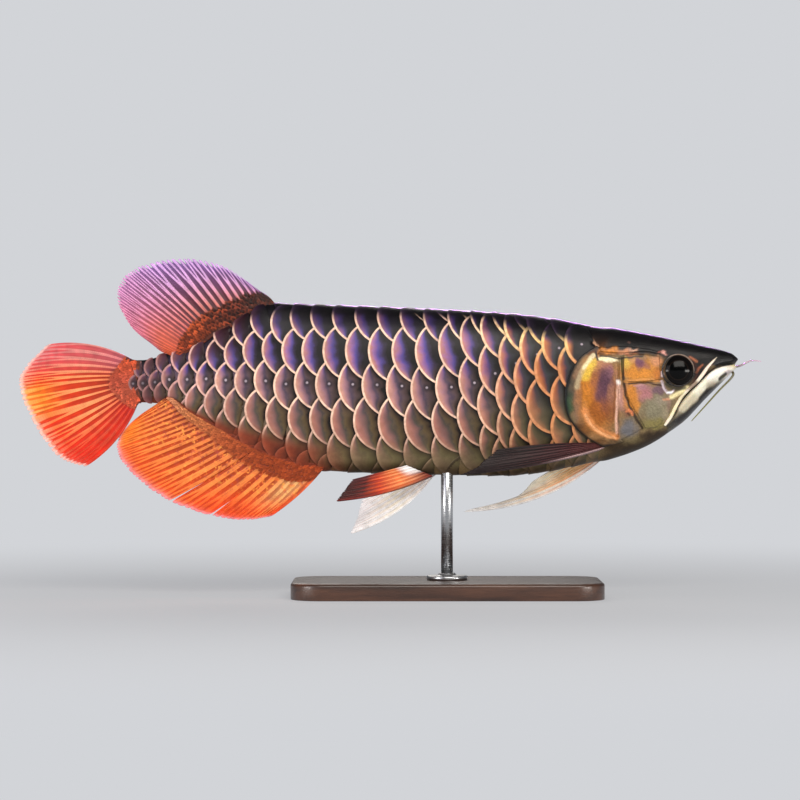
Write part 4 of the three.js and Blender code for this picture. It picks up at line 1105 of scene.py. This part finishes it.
def fan(spec):
    """Grids for one fin: roots and tips are curves, a ray runs from one to the other and bows sideways by a
    parabola, and forks twice. ray is 1 on a ray and 0 in the web, with flat tops and steep sides. The root
    is sunk a little into the body. Gives the middle, the half thickness, ray, share across, share outwards
    and how fleshy it is."""
    rays = spec["rays"]
    u, v = np.meshgrid(np.linspace(0, 1, rays * RAY_SAMPLES + 1), np.linspace(0, 1, spec["steps"]),
                       indexing="ij")
    wander = 0.1 * np.sin(u * 37 + 1) + 0.07 * np.sin(u * 83 + 2)
    lane = u * rays + wander * (1 - np.cos(2 * np.pi * u)) / 2
    number = np.round(lane)
    uneven = 0.5 + 0.5 * np.sin(number * 2.4 + 0.7)
    phase = lane - number + 0.05 * np.sin(v * 5 + number * 1.9) * v
    start = spec["fork"] + 0.12 * (uneven - 0.5)
    fork_one = 0.25 * step(start, 0.92, v)
    fork_two = 0.085 * step(start + 0.35, 1.1, v)
    width = spec["ray_width"] * (1 - 0.52 * step(start - 0.1, 0.9, v))
    apart = [np.abs(phase - a * fork_one - b * fork_two) for a in (-1, 1) for b in (-1, 1)]
    ray = np.exp(-((np.minimum.reduce(apart) / width) ** 4))
    facing = np.array(spec["facing"], float)
    facing /= np.linalg.norm(facing)
    root, tip = through(spec["roots"], u), through(spec["tips"], u)
    run = tip - root
    out = np.cross(np.broadcast_to(facing, run.shape), run)
    out /= np.linalg.norm(out, axis=-1, keepdims=True)
    length = np.linalg.norm(run, axis=-1)
    bow = spec["bow"][0] * (1 - u) ** 2 + spec["bow"][1] * u * u
    notch = np.interp(u, [0, 0.4, 1], spec["notch"])
    short = 1 - notch * (1 - ray[:, -1:]) * (0.6 + 0.4 * uneven) - 0.006 * uneven
    for where, depth in spec.get("tears", []):
        column = np.round(where * rays * RAY_SAMPLES) / (rays * RAY_SAMPLES)
        short = short - depth * np.exp(-(((u - column) * rays / 0.05) ** 2))
    sunk = spec.get("sunk", 3) / np.maximum(length, 8)
    reach = -sunk + v * (short + sunk)
    ripple = spec.get("ripple", 0) * np.sin(u * np.pi * spec.get("waves", 3) + v * 2) * v**1.5
    bend = 4 * bow * np.clip(reach, 0, 1) * (1 - reach)
    middle = root + run * reach[..., None] + out * bend[..., None] + facing * ripple[..., None]
    edge = np.interp(u, np.linspace(0, 1, len(spec["flesh_to"])), spec["flesh_to"])
    fleshy = step(edge * 1.12 + 0.02, edge * 0.8, v) if max(spec["flesh_to"]) > 0 else v * 0
    body_half = spec["flesh"] * (1 - v) ** spec["taper"]
    ray_half = (RAY_HALF - RAY_THINS * v) * (ray + (0.8 - ray) * fleshy) * spec.get("ray_height", 1.0)
    half = WEB_HALF + ray_half + body_half
    half = half * np.sqrt(1 - np.clip(v * 50 - 49, 0, 0.97) ** 2)
    return middle, facing * half[..., None], ray, u, v, fleshy


def fin_piece(name, spec, finish):
    """A fin as one closed sheet, with its ray, across, outwards and fleshy values for the paint. In its
    bake layout the two faces lie side by side."""
    middle, half, ray, u, v, fleshy = fan(spec)
    points, quads = solid_sheets((middle + half)[None], (middle - half)[None])

    def both(values):
        return np.concatenate([values.ravel(), values.ravel()])

    uv = np.concatenate([
        np.stack([0.01 + 0.48 * v, 0.01 + 0.98 * u], axis=-1).reshape(-1, 2),
        np.stack([0.51 + 0.48 * v, 0.01 + 0.98 * u], axis=-1).reshape(-1, 2),
    ])
    attributes = {"ray": both(ray), "across": both(u), "outwards": both(v), "fleshy": both(fleshy)}
    piece = make_mesh(name, points, quads, None, attributes, uv)
    return wear(piece, finish, [name])


def fin_material(name, ray_stops, web_stops, sides, joints=70.0, mottled=0.0, edge_code=None,
                 flesh_codes=("#2E120C", "#5E2816", "#863C20")):
    """Ray and web each blend outwards through their own stops. sides are (colour, where across, width,
    strength) washes, and one may end with the two outward shares between which it sets in. Fine dark joints
    cross the rays, long streaks vary them, and the fleshy base is blotched in the three flesh_codes."""
    material, tree, shader = new_material(name, Roughness=0.45, Specular_IOR_Level=0.25, Coat_Weight=0.06,
                                          Coat_Roughness=0.15)
    ray, across, outwards, fleshy = (stored(tree, each) for each in ("ray", "across", "outwards", "fleshy"))
    rays = ramp(tree, outwards, ray_stops)
    webs = ramp(tree, outwards, web_stops)
    for code, where, width, strength, *reach in sides:
        gap = maths(tree, "ABSOLUTE", maths(tree, "SUBTRACT", across, where))
        wash = span(tree, gap, width, width * 0.2, 0.0, strength)
        if reach:
            wash = times(tree, wash, span(tree, outwards, *reach))
        rays = mix(tree, wash, rays, mix(tree, 0.6, rays, rgba(code)))
        webs = mix(tree, wash, webs, mix(tree, 0.3, webs, rgba(code)))
    colour = mix(tree, span(tree, ray, 0.3, 0.85), webs, rays)
    streak_place = add(tree, "CombineXYZ", {0: times(tree, across, 60.0),
                                            1: times(tree, outwards, 3.0)}).outputs[0]
    streaks = noise(tree, 1.0, 4.0, 0.6, streak_place)
    joint = maths(tree, "SINE", times(tree, outwards, joints * 6.2832))
    on_ray = times(tree, span(tree, joint, 0.75, 1.0), ray)
    colour = mix(tree, times(tree, on_ray, 0.22), colour, rgba("#3A1A18"))
    spots = noise(tree, 300, 4.0)
    if mottled:
        inner = times(tree, span(tree, outwards, 0.9, 0.3), span(tree, spots, 0.5, 0.6))
        blotch = ramp(tree, noise(tree, 110, 2.0), [(0.4, "#9A3A34"), (0.52, "#E87434"), (0.64, "#F8A648")])
        colour = mix(tree, times(tree, inner, mottled), colour, blotch)
    if edge_code:
        colour = mix(tree, span(tree, outwards, 0.955, 0.99, 0.0, 0.75), colour, rgba(edge_code))
    flesh = ramp(tree, spots, list(zip((0.36, 0.55, 0.74), flesh_codes)))
    colour = mix(tree, fleshy, colour, flesh)
    shade = maths(tree, "ADD", span(tree, noise(tree, 150, 4.0), 0.3, 0.7, 0.88, 1.1),
                  span(tree, streaks, 0.3, 0.7, -0.16, 0.12))
    shaded(tree, shader, colour, shade)
    height = maths(tree, "ADD", times(tree, on_ray, -0.8), noise(tree, 1500, 2.0))
    tree.links.new(bump(tree, height, 0.00012), shader.inputs["Normal"])
    return material


def level(points):
    """Side-view points as points in the middle plane."""
    return [[x, 0, z] for x, z in points]


MEDIAN = {"facing": [0, 1, 0], "sunk": 7}
PAIRED = {"fork": 0.5, "ray_width": 0.36, "flesh": 1.4, "taper": 1.6, "flesh_to": [0, 0]}
DORSAL = {
    "roots": level([[-143, 243.5], [-162, 241], [-182, 233], [-199, 224], [-209, 217], [-219, 211],
                    [-228, 206], [-234, 203.5]]),
    "tips": level([[-155.5, 255.5], [-186.5, 276.8], [-220.7, 283.8], [-254.8, 278.2], [-272.5, 266.5],
                   [-276.3, 248.3], [-264.4, 225.8], [-245, 209.8]]),
    "rays": 27, "steps": 96, "bow": [1.5, -1], "fork": 0.5, "ray_width": 0.25,
    "flesh": 5.2, "taper": 2.4, "notch": [0.2, 0.06, 0.035], "ripple": 1.1, "waves": 4,
    "flesh_to": [0.85, 0.5, 0.34, 0.28, 0.25, 0.22, 0.2, 0.18, 0.14, 0.1, 0.06], **MEDIAN,
}
ANAL = {
    "roots": level([[-103, 108], [-122, 108], [-142, 114], [-162, 121], [-178, 129], [-193, 138], [-208, 146],
                    [-222, 154], [-234, 162.5], [-240, 164]]),
    "tips": level([[-148, 67], [-170, 64.4], [-198, 68], [-230, 78.8], [-251, 91.8], [-268, 107.5],
                   [-276.5, 121], [-275.5, 133.5], [-267, 144.3], [-256, 153.5]]),
    "rays": 28, "steps": 90, "bow": [-2.5, 0], "fork": 0.5, "ray_width": 0.3,
    "flesh": 6.2, "taper": 2.2, "notch": [0.02, 0.02, 0.03], "ripple": 1.2, "waves": 5,
    "flesh_to": [0.3, 0.3, 0.27, 0.24, 0.2, 0.17, 0.15, 0.13, 0.12, 0.1, 0.08],
    "tears": [(0.225, 0.28), (0.345, 0.4)], **MEDIAN,
}
CAUDAL = {
    "roots": level([[-264, 199], [-265, 189], [-266, 182], [-265, 175], [-264, 169], [-260, 160.5]]),
    "tips": level([[-336, 211.5], [-356.5, 189], [-357.5, 170], [-343, 138.5], [-325, 116.5],
                   [-303.5, 108.8]]),
    "rays": 16, "steps": 96, "bow": [6.5, -5.5], "fork": 0.4, "ray_width": 0.25,
    "flesh": 3.2, "taper": 2.6, "notch": [0.02, 0.025, 0.03], "ripple": 1.0, "waves": 3,
    "flesh_to": [0.16, 0.17, 0.2, 0.22, 0.24, 0.24, 0.22, 0.2, 0.18, 0.16, 0.14], **MEDIAN,
}
PECTORAL_RIGHT = {
    "roots": [[129, -13, 124], [127, -15, 126.5], [124, -17, 128.5]],
    "tips": [[9, -47, 103], [22, -44, 108.5], [31, -40, 116], [41, -35, 124]],
    "facing": [-0.22, -0.9, 0.36], "rays": 7, "steps": 90, "bow": [3.5, -2],
    "notch": [0.02, 0.03, 0.04], "ray_height": 1.3, **PAIRED,
}
PECTORAL_LEFT = {
    "roots": [[137, 13, 122], [134, 15, 124], [131, 17, 126]],
    "tips": [[13.5, 47, 69.5], [24, 46.5, 72.4], [45, 44, 76], [62, 39, 84], [73, 33, 95.5]],
    "facing": [-0.3, 0.92, 0.25], "rays": 7, "steps": 90, "bow": [-15.5, 2],
    "notch": [0.02, 0.03, 0.04], "ray_height": 1.3, **PAIRED,
}
PELVIC_RIGHT = {
    "roots": [[-15, -5, 100.5], [-25, -8, 104.5], [-36, -11, 109]],
    "tips": [[-93, -30, 80.6], [-88, -28.4, 87], [-83, -26.7, 93.5], [-79, -25, 99]],
    "facing": [-0.25, -0.9, 0.36], "rays": 6, "steps": 70, "bow": [4, 0],
    "notch": [0.03, 0.03, 0.05], "ray_height": 1.2, **PAIRED,
}
PELVIC_LEFT = {
    "roots": [[-12, 5, 101], [-18, 7, 104], [-23, 8, 106.5]],
    "tips": [[-82, 20, 51.5], [-75.5, 19, 66], [-72, 18, 80]],
    "facing": [-0.2, 0.95, 0.24], "rays": 6, "steps": 70, "bow": [-8, 0],
    "notch": [0.03, 0.04, 0.06], "ray_height": 1.2, **PAIRED,
}

# The small scales that climb the fleshy bases of the dorsal, anal and tail fin, thin overlapping discs of the
# same bone as the body's, each with a paler rim. They are set in lines on both faces of the fin.
BASE_SCALE_THICK, BASE_SCALE_LIFT = 0.3, 0.36
BASE_RINGS = 1 - np.array([0, 0.06, 0.2, 0.5, 0.95])
BASE_SECTOR = 1.5
BASE_START, BASE_SPREAD, BASE_OVERLAP = 0.22, 0.84, 1.3


def base_scales(name, spec, lines, count, patchy, rim_codes, core_codes):
    """The small scales that climb a fin's fleshy base, on both its faces. They stand in lines along the
    base, every other line half a step on, each a disc sector whose outer rim lies free and whose root dives
    under the next one inwards. Their size is the fleshy part's height over the number of lines, and all is
    uneven by chance. Rim and core colours run evenly along the base through their own lists, and patchy is
    how far one scale's brightness may stray from the next one's."""
    chance = np.random.default_rng(3)
    middle, half = fan(spec)[:2]

    def on_fan(table, at_u, at_v):
        row = np.clip(at_u, 0, 1) * (table.shape[0] - 1)
        return sampled(table, row, np.clip(at_v, 0, 1) * (table.shape[1] - 1))

    line, place = np.meshgrid(np.arange(lines), np.arange(count), indexing="ij")
    u0 = ((place + 0.25 + 0.5 * (line % 2) + 0.3 * (chance.random(line.shape) - 0.5)) / count).ravel()
    edge = np.interp(u0, np.linspace(0, 1, len(spec["flesh_to"])), spec["flesh_to"])
    v0 = edge * (BASE_START + BASE_SPREAD * (line.ravel() + 1 + 0.5 * (chance.random(line.size) - 0.5)) / lines)
    long_u = np.linalg.norm(on_fan(middle, u0 + 0.01, v0) - on_fan(middle, u0 - 0.01, v0), axis=-1) / 0.02
    long_v = np.linalg.norm(on_fan(middle, u0, v0 + 0.02) - on_fan(middle, u0, v0 - 0.02), axis=-1) / 0.04
    radius = np.clip(0.66 * long_u / count, 1.2, 0.95 * edge * long_v / lines + 1.2)
    radius = radius * (0.85 + 0.3 * chance.random(len(radius)))
    longer = np.maximum(BASE_OVERLAP * BASE_SPREAD * edge * long_v / lines / radius, 1)[:, None, None]
    turn, ring = np.meshgrid(np.linspace(-1, 1, 11), BASE_RINGS, indexing="ij")
    size = radius[:, None, None]
    ahead = size * (1 - ring * np.cos(turn * BASE_SECTOR))
    down = size * ring * np.sin(turn * BASE_SECTOR)
    at_u = u0[:, None, None] + down / long_u[:, None, None]
    at_v = v0[:, None, None] - ahead * longer / long_v[:, None, None]
    keep = (at_v.min(axis=(1, 2)) > 0.005) & (at_u.min(axis=(1, 2)) > 0) & (at_u.max(axis=(1, 2)) < 1)
    at_u, at_v, ahead, turn = at_u[keep], at_v[keep], ahead[keep], np.broadcast_to(turn, ahead.shape)[keep]
    size, ring = size[keep], np.broadcast_to(ring, down.shape)[keep]
    surface, thick = on_fan(middle, at_u, at_v), on_fan(half, at_u, at_v)
    outer = thick / np.linalg.norm(thick, axis=-1, keepdims=True)
    lift = (BASE_SCALE_LIFT - 0.1 * ahead - 0.26 * step(0.8, 1.0, np.abs(turn)))[..., None]
    points, quads = [], []
    for face in (-1, 1):
        tops = surface + face * (thick + outer * lift)
        bottoms = surface + face * (thick + outer * (lift - BASE_SCALE_THICK))
        face_points, face_quads = solid_sheets(tops, bottoms)
        quads.append(face_quads + sum(len(before) for before in points))
        points.append(face_points.reshape(-1, 3))
    depth = np.clip(size * (1 - ring) / 1.5, 0, 1)[..., None]
    own = (1 - patchy + 3 * patchy * chance.random(len(size)) ** 2)[:, None, None, None]
    rim_line, core_line = (
        blend_along(u0[keep], codes)[:, None, None] for codes in (rim_codes, core_codes)
    )
    colours = rim_line * (1 - depth) * own + core_line * depth * (0.6 + 0.4 * own)
    colours = np.concatenate([colours.reshape(len(size), -1, 3)] * 2, axis=1)
    cell_u = (0.05 + 0.9 * np.clip(ahead / size / 2, 0, 1)).reshape(len(size), -1)
    cell_v = (0.5 + 0.42 * np.sin(turn * BASE_SECTOR) * ring).reshape(len(size), -1)
    where = np.stack([line.ravel()[keep] / (2 * lines), place.ravel()[keep] / count], axis=1)
    cell = np.stack([cell_u / (2 * lines), cell_v / count], axis=-1) + where[:, None, :]
    cell = np.concatenate([cell, cell], axis=1)
    uv = np.concatenate([cell.reshape(-1, 2), cell.reshape(-1, 2) + [0.5, 0]])
    piece = make_mesh(name, np.concatenate(points), np.concatenate(quads),
                      np.concatenate([colours.reshape(-1, 3)] * 2), None, uv)
    return wear(piece, base_finish)


base_finish = wet_paint("small_scale_enamel", grain=1600, mottle=0.2, relief=0.0001, Roughness=0.45,
                        Specular_IOR_Level=0.18, Coat_Weight=0.04)
base_scales(
    "scales_dorsal_base", DORSAL, lines=5, count=38, patchy=0.6,
    rim_codes=["#38180F", "#6A2A18", "#98401E", "#9C3E1E", "#8E3820"],
    core_codes=["#140606", "#260C08", "#441608", "#4A180C"],
)
base_scales(
    "scales_anal_base", ANAL, lines=5, count=62, patchy=0.25,
    rim_codes=["#96401C", "#9A421C", "#A4502A", "#C47848", "#D08C68"],
    core_codes=["#7C2C12", "#7E2E12", "#86381A", "#8E4A28", "#5A2C22"],
)
base_scales(
    "scales_caudal_base", CAUDAL, lines=7, count=26, patchy=0.3,
    rim_codes=["#CC5430", "#B04A34", "#B05038", "#CC5434"],
    core_codes=["#A43C1C", "#8C3422", "#8C3826", "#A43C1E"],
)

# The seven fins themselves: lilac above, orange and red behind and below, near black paired fins on the
# right, and on the left the same fins painted pale and white as if lit through from behind. The right
# pelvic fin carries a painted white highlight at its root.
fin_piece("dorsal_fin", DORSAL, fin_material(
    "dorsal_web",
    [(0.0, "#7A3024"), (0.2, "#BC5C48"), (0.36, "#D07A74"), (0.5, "#E096AC"), (0.72, "#D29ED2"),
     (1.0, "#D4A6E6")],
    [(0.0, "#1A0606"), (0.2, "#340E0C"), (0.45, "#50202E"), (0.8, "#643E6A"), (1.0, "#6E4E8A")],
    [("#F06A30", 1.0, 0.42, 1.0), ("#E07480", 0.7, 0.34, 0.6), ("#E0602C", 0.9, 0.4, 0.9, 0.85, 0.35)],
    joints=46,
))
fin_piece("anal_fin", ANAL, fin_material(
    "anal_web",
    [(0.0, "#8A3A1C"), (0.25, "#E88040"), (0.6, "#F88A40"), (0.9, "#F4702A"), (1.0, "#F08070")],
    [(0.0, "#5A200E"), (0.3, "#9C3812"), (0.6, "#B8400E"), (0.9, "#D0420C"), (1.0, "#D85840")],
    [("#FFD890", 0.08, 0.1, 0.9, 0.95, 0.4), ("#E82A08", 0.0, 0.06, 1.0),
     ("#F03000", 0.2, 0.16, 0.9, 0.5, 0.85), ("#FF9A20", 0.8, 0.16, 0.8, 0.5, 0.9)],
    joints=52, mottled=0.75, edge_code="#F09098", flesh_codes=("#6A2814", "#7A3018", "#8A3C20"),
))
fin_piece("caudal_fin", CAUDAL, fin_material(
    "caudal_web",
    [(0.0, "#8A3A2C"), (0.2, "#E87248"), (0.5, "#F89A60"), (0.85, "#F47438"), (1.0, "#F89C80")],
    [(0.0, "#32100C"), (0.2, "#8A2410"), (0.5, "#BA3008"), (0.85, "#D42A04"), (1.0, "#D84020")],
    [("#B87088", 0.0, 0.34, 1.0), ("#FFB020", 0.44, 0.14, 0.9, 0.6, 0.9), ("#E80C00", 1.0, 0.42, 1.0),
     ("#B80600", 1.0, 0.38, 1.0)],
    joints=48, edge_code="#F8C8BC",
))
fin_piece("pectoral_fin_right", PECTORAL_RIGHT, fin_material(
    "pectoral_dark",
    [(0.0, "#5A2A28"), (0.3, "#3C1216"), (0.7, "#22080A"), (1.0, "#140406")],
    [(0.0, "#1E0C0C"), (0.3, "#0C0405"), (0.7, "#060203"), (1.0, "#040102")],
    [("#F8D0D0", 0.0, 0.13, 1.0, 0.5, 0.15)],
    joints=60,
))
# Painted light: the left pectoral fin is coloured near white, as if lit through from behind.
fin_piece("pectoral_fin_left", PECTORAL_LEFT, fin_material(
    "pectoral_painted_backlight",
    [(0.0, "#FFC08A"), (0.4, "#FFD8A0"), (0.7, "#FFF0DC"), (1.0, "#FFFCF8")],
    [(0.0, "#F09860"), (0.4, "#F8A458"), (0.7, "#FFE0B4"), (1.0, "#FFF4EA")],
    [("#FFFFFF", 0.0, 0.34, 1.0), ("#FFFFFF", 0.0, 0.2, 1.0), ("#FFF4D0", 0.9, 0.3, 0.9, 0.3, 0.6)],
    joints=60,
))
fin_piece("pelvic_fin_right", PELVIC_RIGHT, fin_material(
    "pelvic_dark",
    [(0.0, "#7A2C20"), (0.14, "#D88860"), (0.3, "#F4985C"), (0.55, "#D84E1C"), (0.74, "#6A140A"),
     (1.0, "#2C0608")],
    [(0.0, "#4A1814"), (0.14, "#B05C38"), (0.3, "#DC6A30"), (0.55, "#A8280C"), (0.74, "#340806"),
     (1.0, "#140304")],
    # Painted highlight: three white washes make a white glare patch near the root, towards the belly.
    [("#FFFFFF", 0.8, 0.5, 1.0, 0.26, 0.1), ("#FFFFFF", 0.8, 0.5, 1.0, 0.24, 0.08),
     ("#FFFFFF", 0.8, 0.5, 1.0, 0.22, 0.06), ("#7A1A10", 0.0, 0.16, 1.0),
     ("#5A2830", 1.0, 0.3, 0.9, 0.3, 0.5)],
    joints=40,
))
# Painted light: the left pelvic fin is coloured near white, as if lit through from behind.
fin_piece("pelvic_fin_left", PELVIC_LEFT, fin_material(
    "pelvic_painted_backlight",
    [(0.0, "#FFFAF8"), (0.5, "#FFFCF8"), (1.0, "#FFFAFA")],
    [(0.0, "#F4E4DE"), (0.5, "#FAF0DC"), (1.0, "#F4E8E8")],
    [("#FFFFFF", 0.0, 0.2, 0.8)],
    joints=40,
))

# The display stand: a flat base of dark-stained hardwood with rounded corners and a softened edge, a turned
# steel collar let into its top, and one satin steel rod pressed into the collar and up into the belly.
wood, tree, shader = new_material("stained_hardwood", Roughness=0.38, Coat_Weight=0.4, Coat_Roughness=0.18)
grain_place = add(tree, "Mapping", {"Vector": add(tree, "TexCoord").outputs["Object"], "Scale": (6, 60, 60)})
streaks = noise(tree, 1.6, 8.0, 0.62, grain_place.outputs[0])
pores = noise(tree, 22, 4.0, 0.7, grain_place.outputs[0])
colour = ramp(tree, streaks, [(0.25, "#1C100A"), (0.45, "#3A2216"), (0.6, "#4E3020"), (0.75, "#2A180F")])
colour = mix(tree, span(tree, pores, 0.62, 0.72, 0.0, 0.7), colour, rgba("#120A06"))
tree.links.new(colour, shader.inputs["Base Color"])
tree.links.new(bump(tree, pores, 0.0003, 0.6), shader.inputs["Normal"])

steel, tree, shader = new_material("satin_steel", Metallic=1.0, Roughness=0.28, Base_Color=rgba("#B4B6B9"))
brush_place = add(tree, "Mapping", {"Vector": add(tree, "TexCoord").outputs["Object"],
                                    "Scale": (40, 40, 1400)})
brushed = noise(tree, 1.0, 3.0, 0.6, brush_place.outputs[0])
tree.links.new(span(tree, brushed, 0.3, 0.7, 0.22, 0.38), shader.inputs["Roughness"])
tree.links.new(bump(tree, brushed, 0.00004), shader.inputs["Normal"])

BASE_HALF_X, BASE_HALF_Y, BASE_THICK, BASE_CORNER, BASE_ROUND = 130, 62, 14, 26, 2.6
WELD_DISTANCE = 1e-6


def slab():
    """A rounded rectangle swept up a profile that rounds in at the top edge and eases in at the bottom: the
    outline is stepped inwards by the profile's inset at each height, then closed over the top and
    bottom."""
    angle = np.linspace(0, 2 * np.pi, 161)[:-1]
    quarter = np.floor(angle / (np.pi / 2))
    corner_x = np.where((quarter == 0) | (quarter == 3), 1, -1) * (BASE_HALF_X - BASE_CORNER)
    corner_y = np.where(quarter < 2, 1, -1) * (BASE_HALF_Y - BASE_CORNER)
    arc = np.linspace(0, np.pi / 2, 9)
    inset = np.concatenate([[BASE_HALF_Y, BASE_CORNER], [0.8, 0.3, 0.0], BASE_ROUND * (1 - np.cos(arc)),
                            [BASE_CORNER, BASE_HALF_Y]])
    height = np.concatenate([[0, 0], [0, 0.3, 0.9], BASE_THICK - BASE_ROUND + BASE_ROUND * np.sin(arc),
                             [BASE_THICK, BASE_THICK]])
    reach = BASE_CORNER - inset[:, None]
    shrink = np.minimum(reach, 0)
    x = corner_x + np.sign(corner_x) * shrink + np.maximum(reach, 0) * np.cos(angle)
    y = corner_y + np.sign(corner_y) * shrink + np.maximum(reach, 0) * np.sin(angle)
    return np.stack([x, y, np.broadcast_to(height[:, None], x.shape)], axis=-1)


def turned(profile, count=96):
    """A profile of [radius, height] points turned round the upright axis."""
    around = np.linspace(0, 2 * np.pi, count, endpoint=False)
    radius, height = np.array(profile, float).T
    return np.stack([radius[:, None] * np.cos(around), radius[:, None] * np.sin(around),
                     np.broadcast_to(height[:, None], (len(radius), count))], axis=-1)


def weld(mesh):
    """Merges a mesh's points that coincide, as the rings of a turned part do where it closes on its axis."""
    joined = bmesh.new()
    joined.from_mesh(mesh)
    bmesh.ops.remove_doubles(joined, verts=joined.verts, dist=WELD_DISTANCE)
    joined.to_mesh(mesh)
    joined.free()


for name, points, finish, slot in (
    ("stand_base", slab(), wood, "stained_wood"),
    ("stand_collar", turned([[0, 14], [17, 14], [17, 16.8], [16.7, 17.5], [16, 17.9], [15, 18], [8.5, 18],
                             [7.6, 18.3], [7.2, 19.2], [6.8, 19.8], [6.2, 20], [0, 20]]),
     steel, "satin_steel"),
    ("stand_rod", turned([[0, 16], [5, 16], [5, 111], [4, 112], [0, 112]]), steel, "satin_steel"),
):
    quads = outward(points, grid_quads(*points.shape[:2], wrap=True))
    part = make_mesh(name, points, quads)
    weld(part.data)
    wear(part, finish, [name])

# The studio: a pale floor that fades into the backdrop's own grey. A broad soft light stands high beyond the
# camera, a narrow lilac strip behind the back draws a bright line along it, and two low lights, a weak fill
# and a fill behind reach the belly and the left flank.
BACKDROP = "#D2D4D8"
floor_finish, tree, shader = new_material("studio_floor", Roughness=0.8, Specular_IOR_Level=0.15,
                                          Base_Color=rgba("#C4C6CA"))
spread = add(tree, "VectorMath", {0: add(tree, "TexCoord").outputs["Object"]}, operation="LENGTH")
glow = add(tree, "Emission", {"Color": rgba(BACKDROP), "Strength": 1.0})
blend = add(tree, "MixShader", {"Fac": span(tree, spread.outputs["Value"], 0.1, 1.1, 0.5, 1.0),
                                1: shader.outputs[0], 2: glow.outputs[0]})
tree.links.new(blend.outputs[0], tree.nodes["Material Output"].inputs["Surface"])
floor_mesh = bpy.data.meshes.new("studio_floor")
floor_mesh.from_pydata([(-9, -9, 0), (9, -9, 0), (9, 9, 0), (-9, 9, 0)], [], [(0, 1, 2, 3)])
floor = bpy.data.objects.new("studio_floor", floor_mesh)
floor.data.materials.append(floor_finish)
bpy.context.scene.collection.objects.link(floor)

world = bpy.data.worlds.new("studio")
world.use_nodes = True
bpy.context.scene.world = world
backdrop = world.node_tree.nodes["Background"]
seen = add(world.node_tree, "LightPath").outputs["Is Camera Ray"]
lit = add(world.node_tree, "Mix", {0: seen, 2: 0.22, 3: 1.0}, data_type="FLOAT")
world.node_tree.links.new(lit.outputs[0], backdrop.inputs["Strength"])
backdrop.inputs["Color"].default_value = rgba(BACKDROP)


def softbox(name, place, target, size, power, code):
    """An area light that faces its target."""
    light = bpy.data.lights.new(name, "AREA")
    light.shape = "RECTANGLE"
    light.size, light.size_y = size
    light.energy = power
    light.color = linear(code)
    made = bpy.data.objects.new(name, light)
    made.location = place
    made.rotation_euler = (Vector(target) - Vector(place)).to_track_quat("-Z", "Y").to_euler()
    made.visible_camera = False
    bpy.context.scene.collection.objects.link(made)
    return made


softbox("key_light", (0.4, -1.5, 1.1), (0, 0, 0.17), (1.5, 0.9), 27, "#FFF8F0")
ridge_light = softbox("ridge_light", (-0.05, 0.6, 0.37), (-0.05, 0, 0.3), (1.2, 0.05), 0.7, "#D68CFF")
ridge_light.data.spread = 0.42
softbox("back_fill", (-0.3, 1.7, 1.1), (0, 0, 0.15), (1.2, 0.8), 9, "#FFF8F0")
softbox("low_light_front", (1.3, -1.0, 0.12), (0.05, 0, 0.1), (0.7, 0.2), 9, "#FFFAF4")
softbox("low_light_rear", (-1.4, -1.0, 0.12), (-0.1, 0, 0.1), (0.7, 0.2), 9, "#FFFAF4")
softbox("fill_light", (-1.3, -1.2, 0.5), (0, 0, 0.15), (0.9, 0.9), 5, "#F8F4FF")

CAMERA_DISTANCE = 2.6
FRAME_WIDTH = 0.6714
camera_data = bpy.data.cameras.new("camera")
camera_data.sensor_width = 36
camera_data.lens = camera_data.sensor_width * CAMERA_DISTANCE / FRAME_WIDTH
camera = bpy.data.objects.new("camera", camera_data)
camera.location = (-0.0394, -CAMERA_DISTANCE, 0.165)
camera.rotation_euler = (np.pi / 2, 0, 0)
bpy.context.scene.collection.objects.link(camera)
bpy.context.scene.camera = camera
bpy.context.scene.view_settings.view_transform = "Standard"
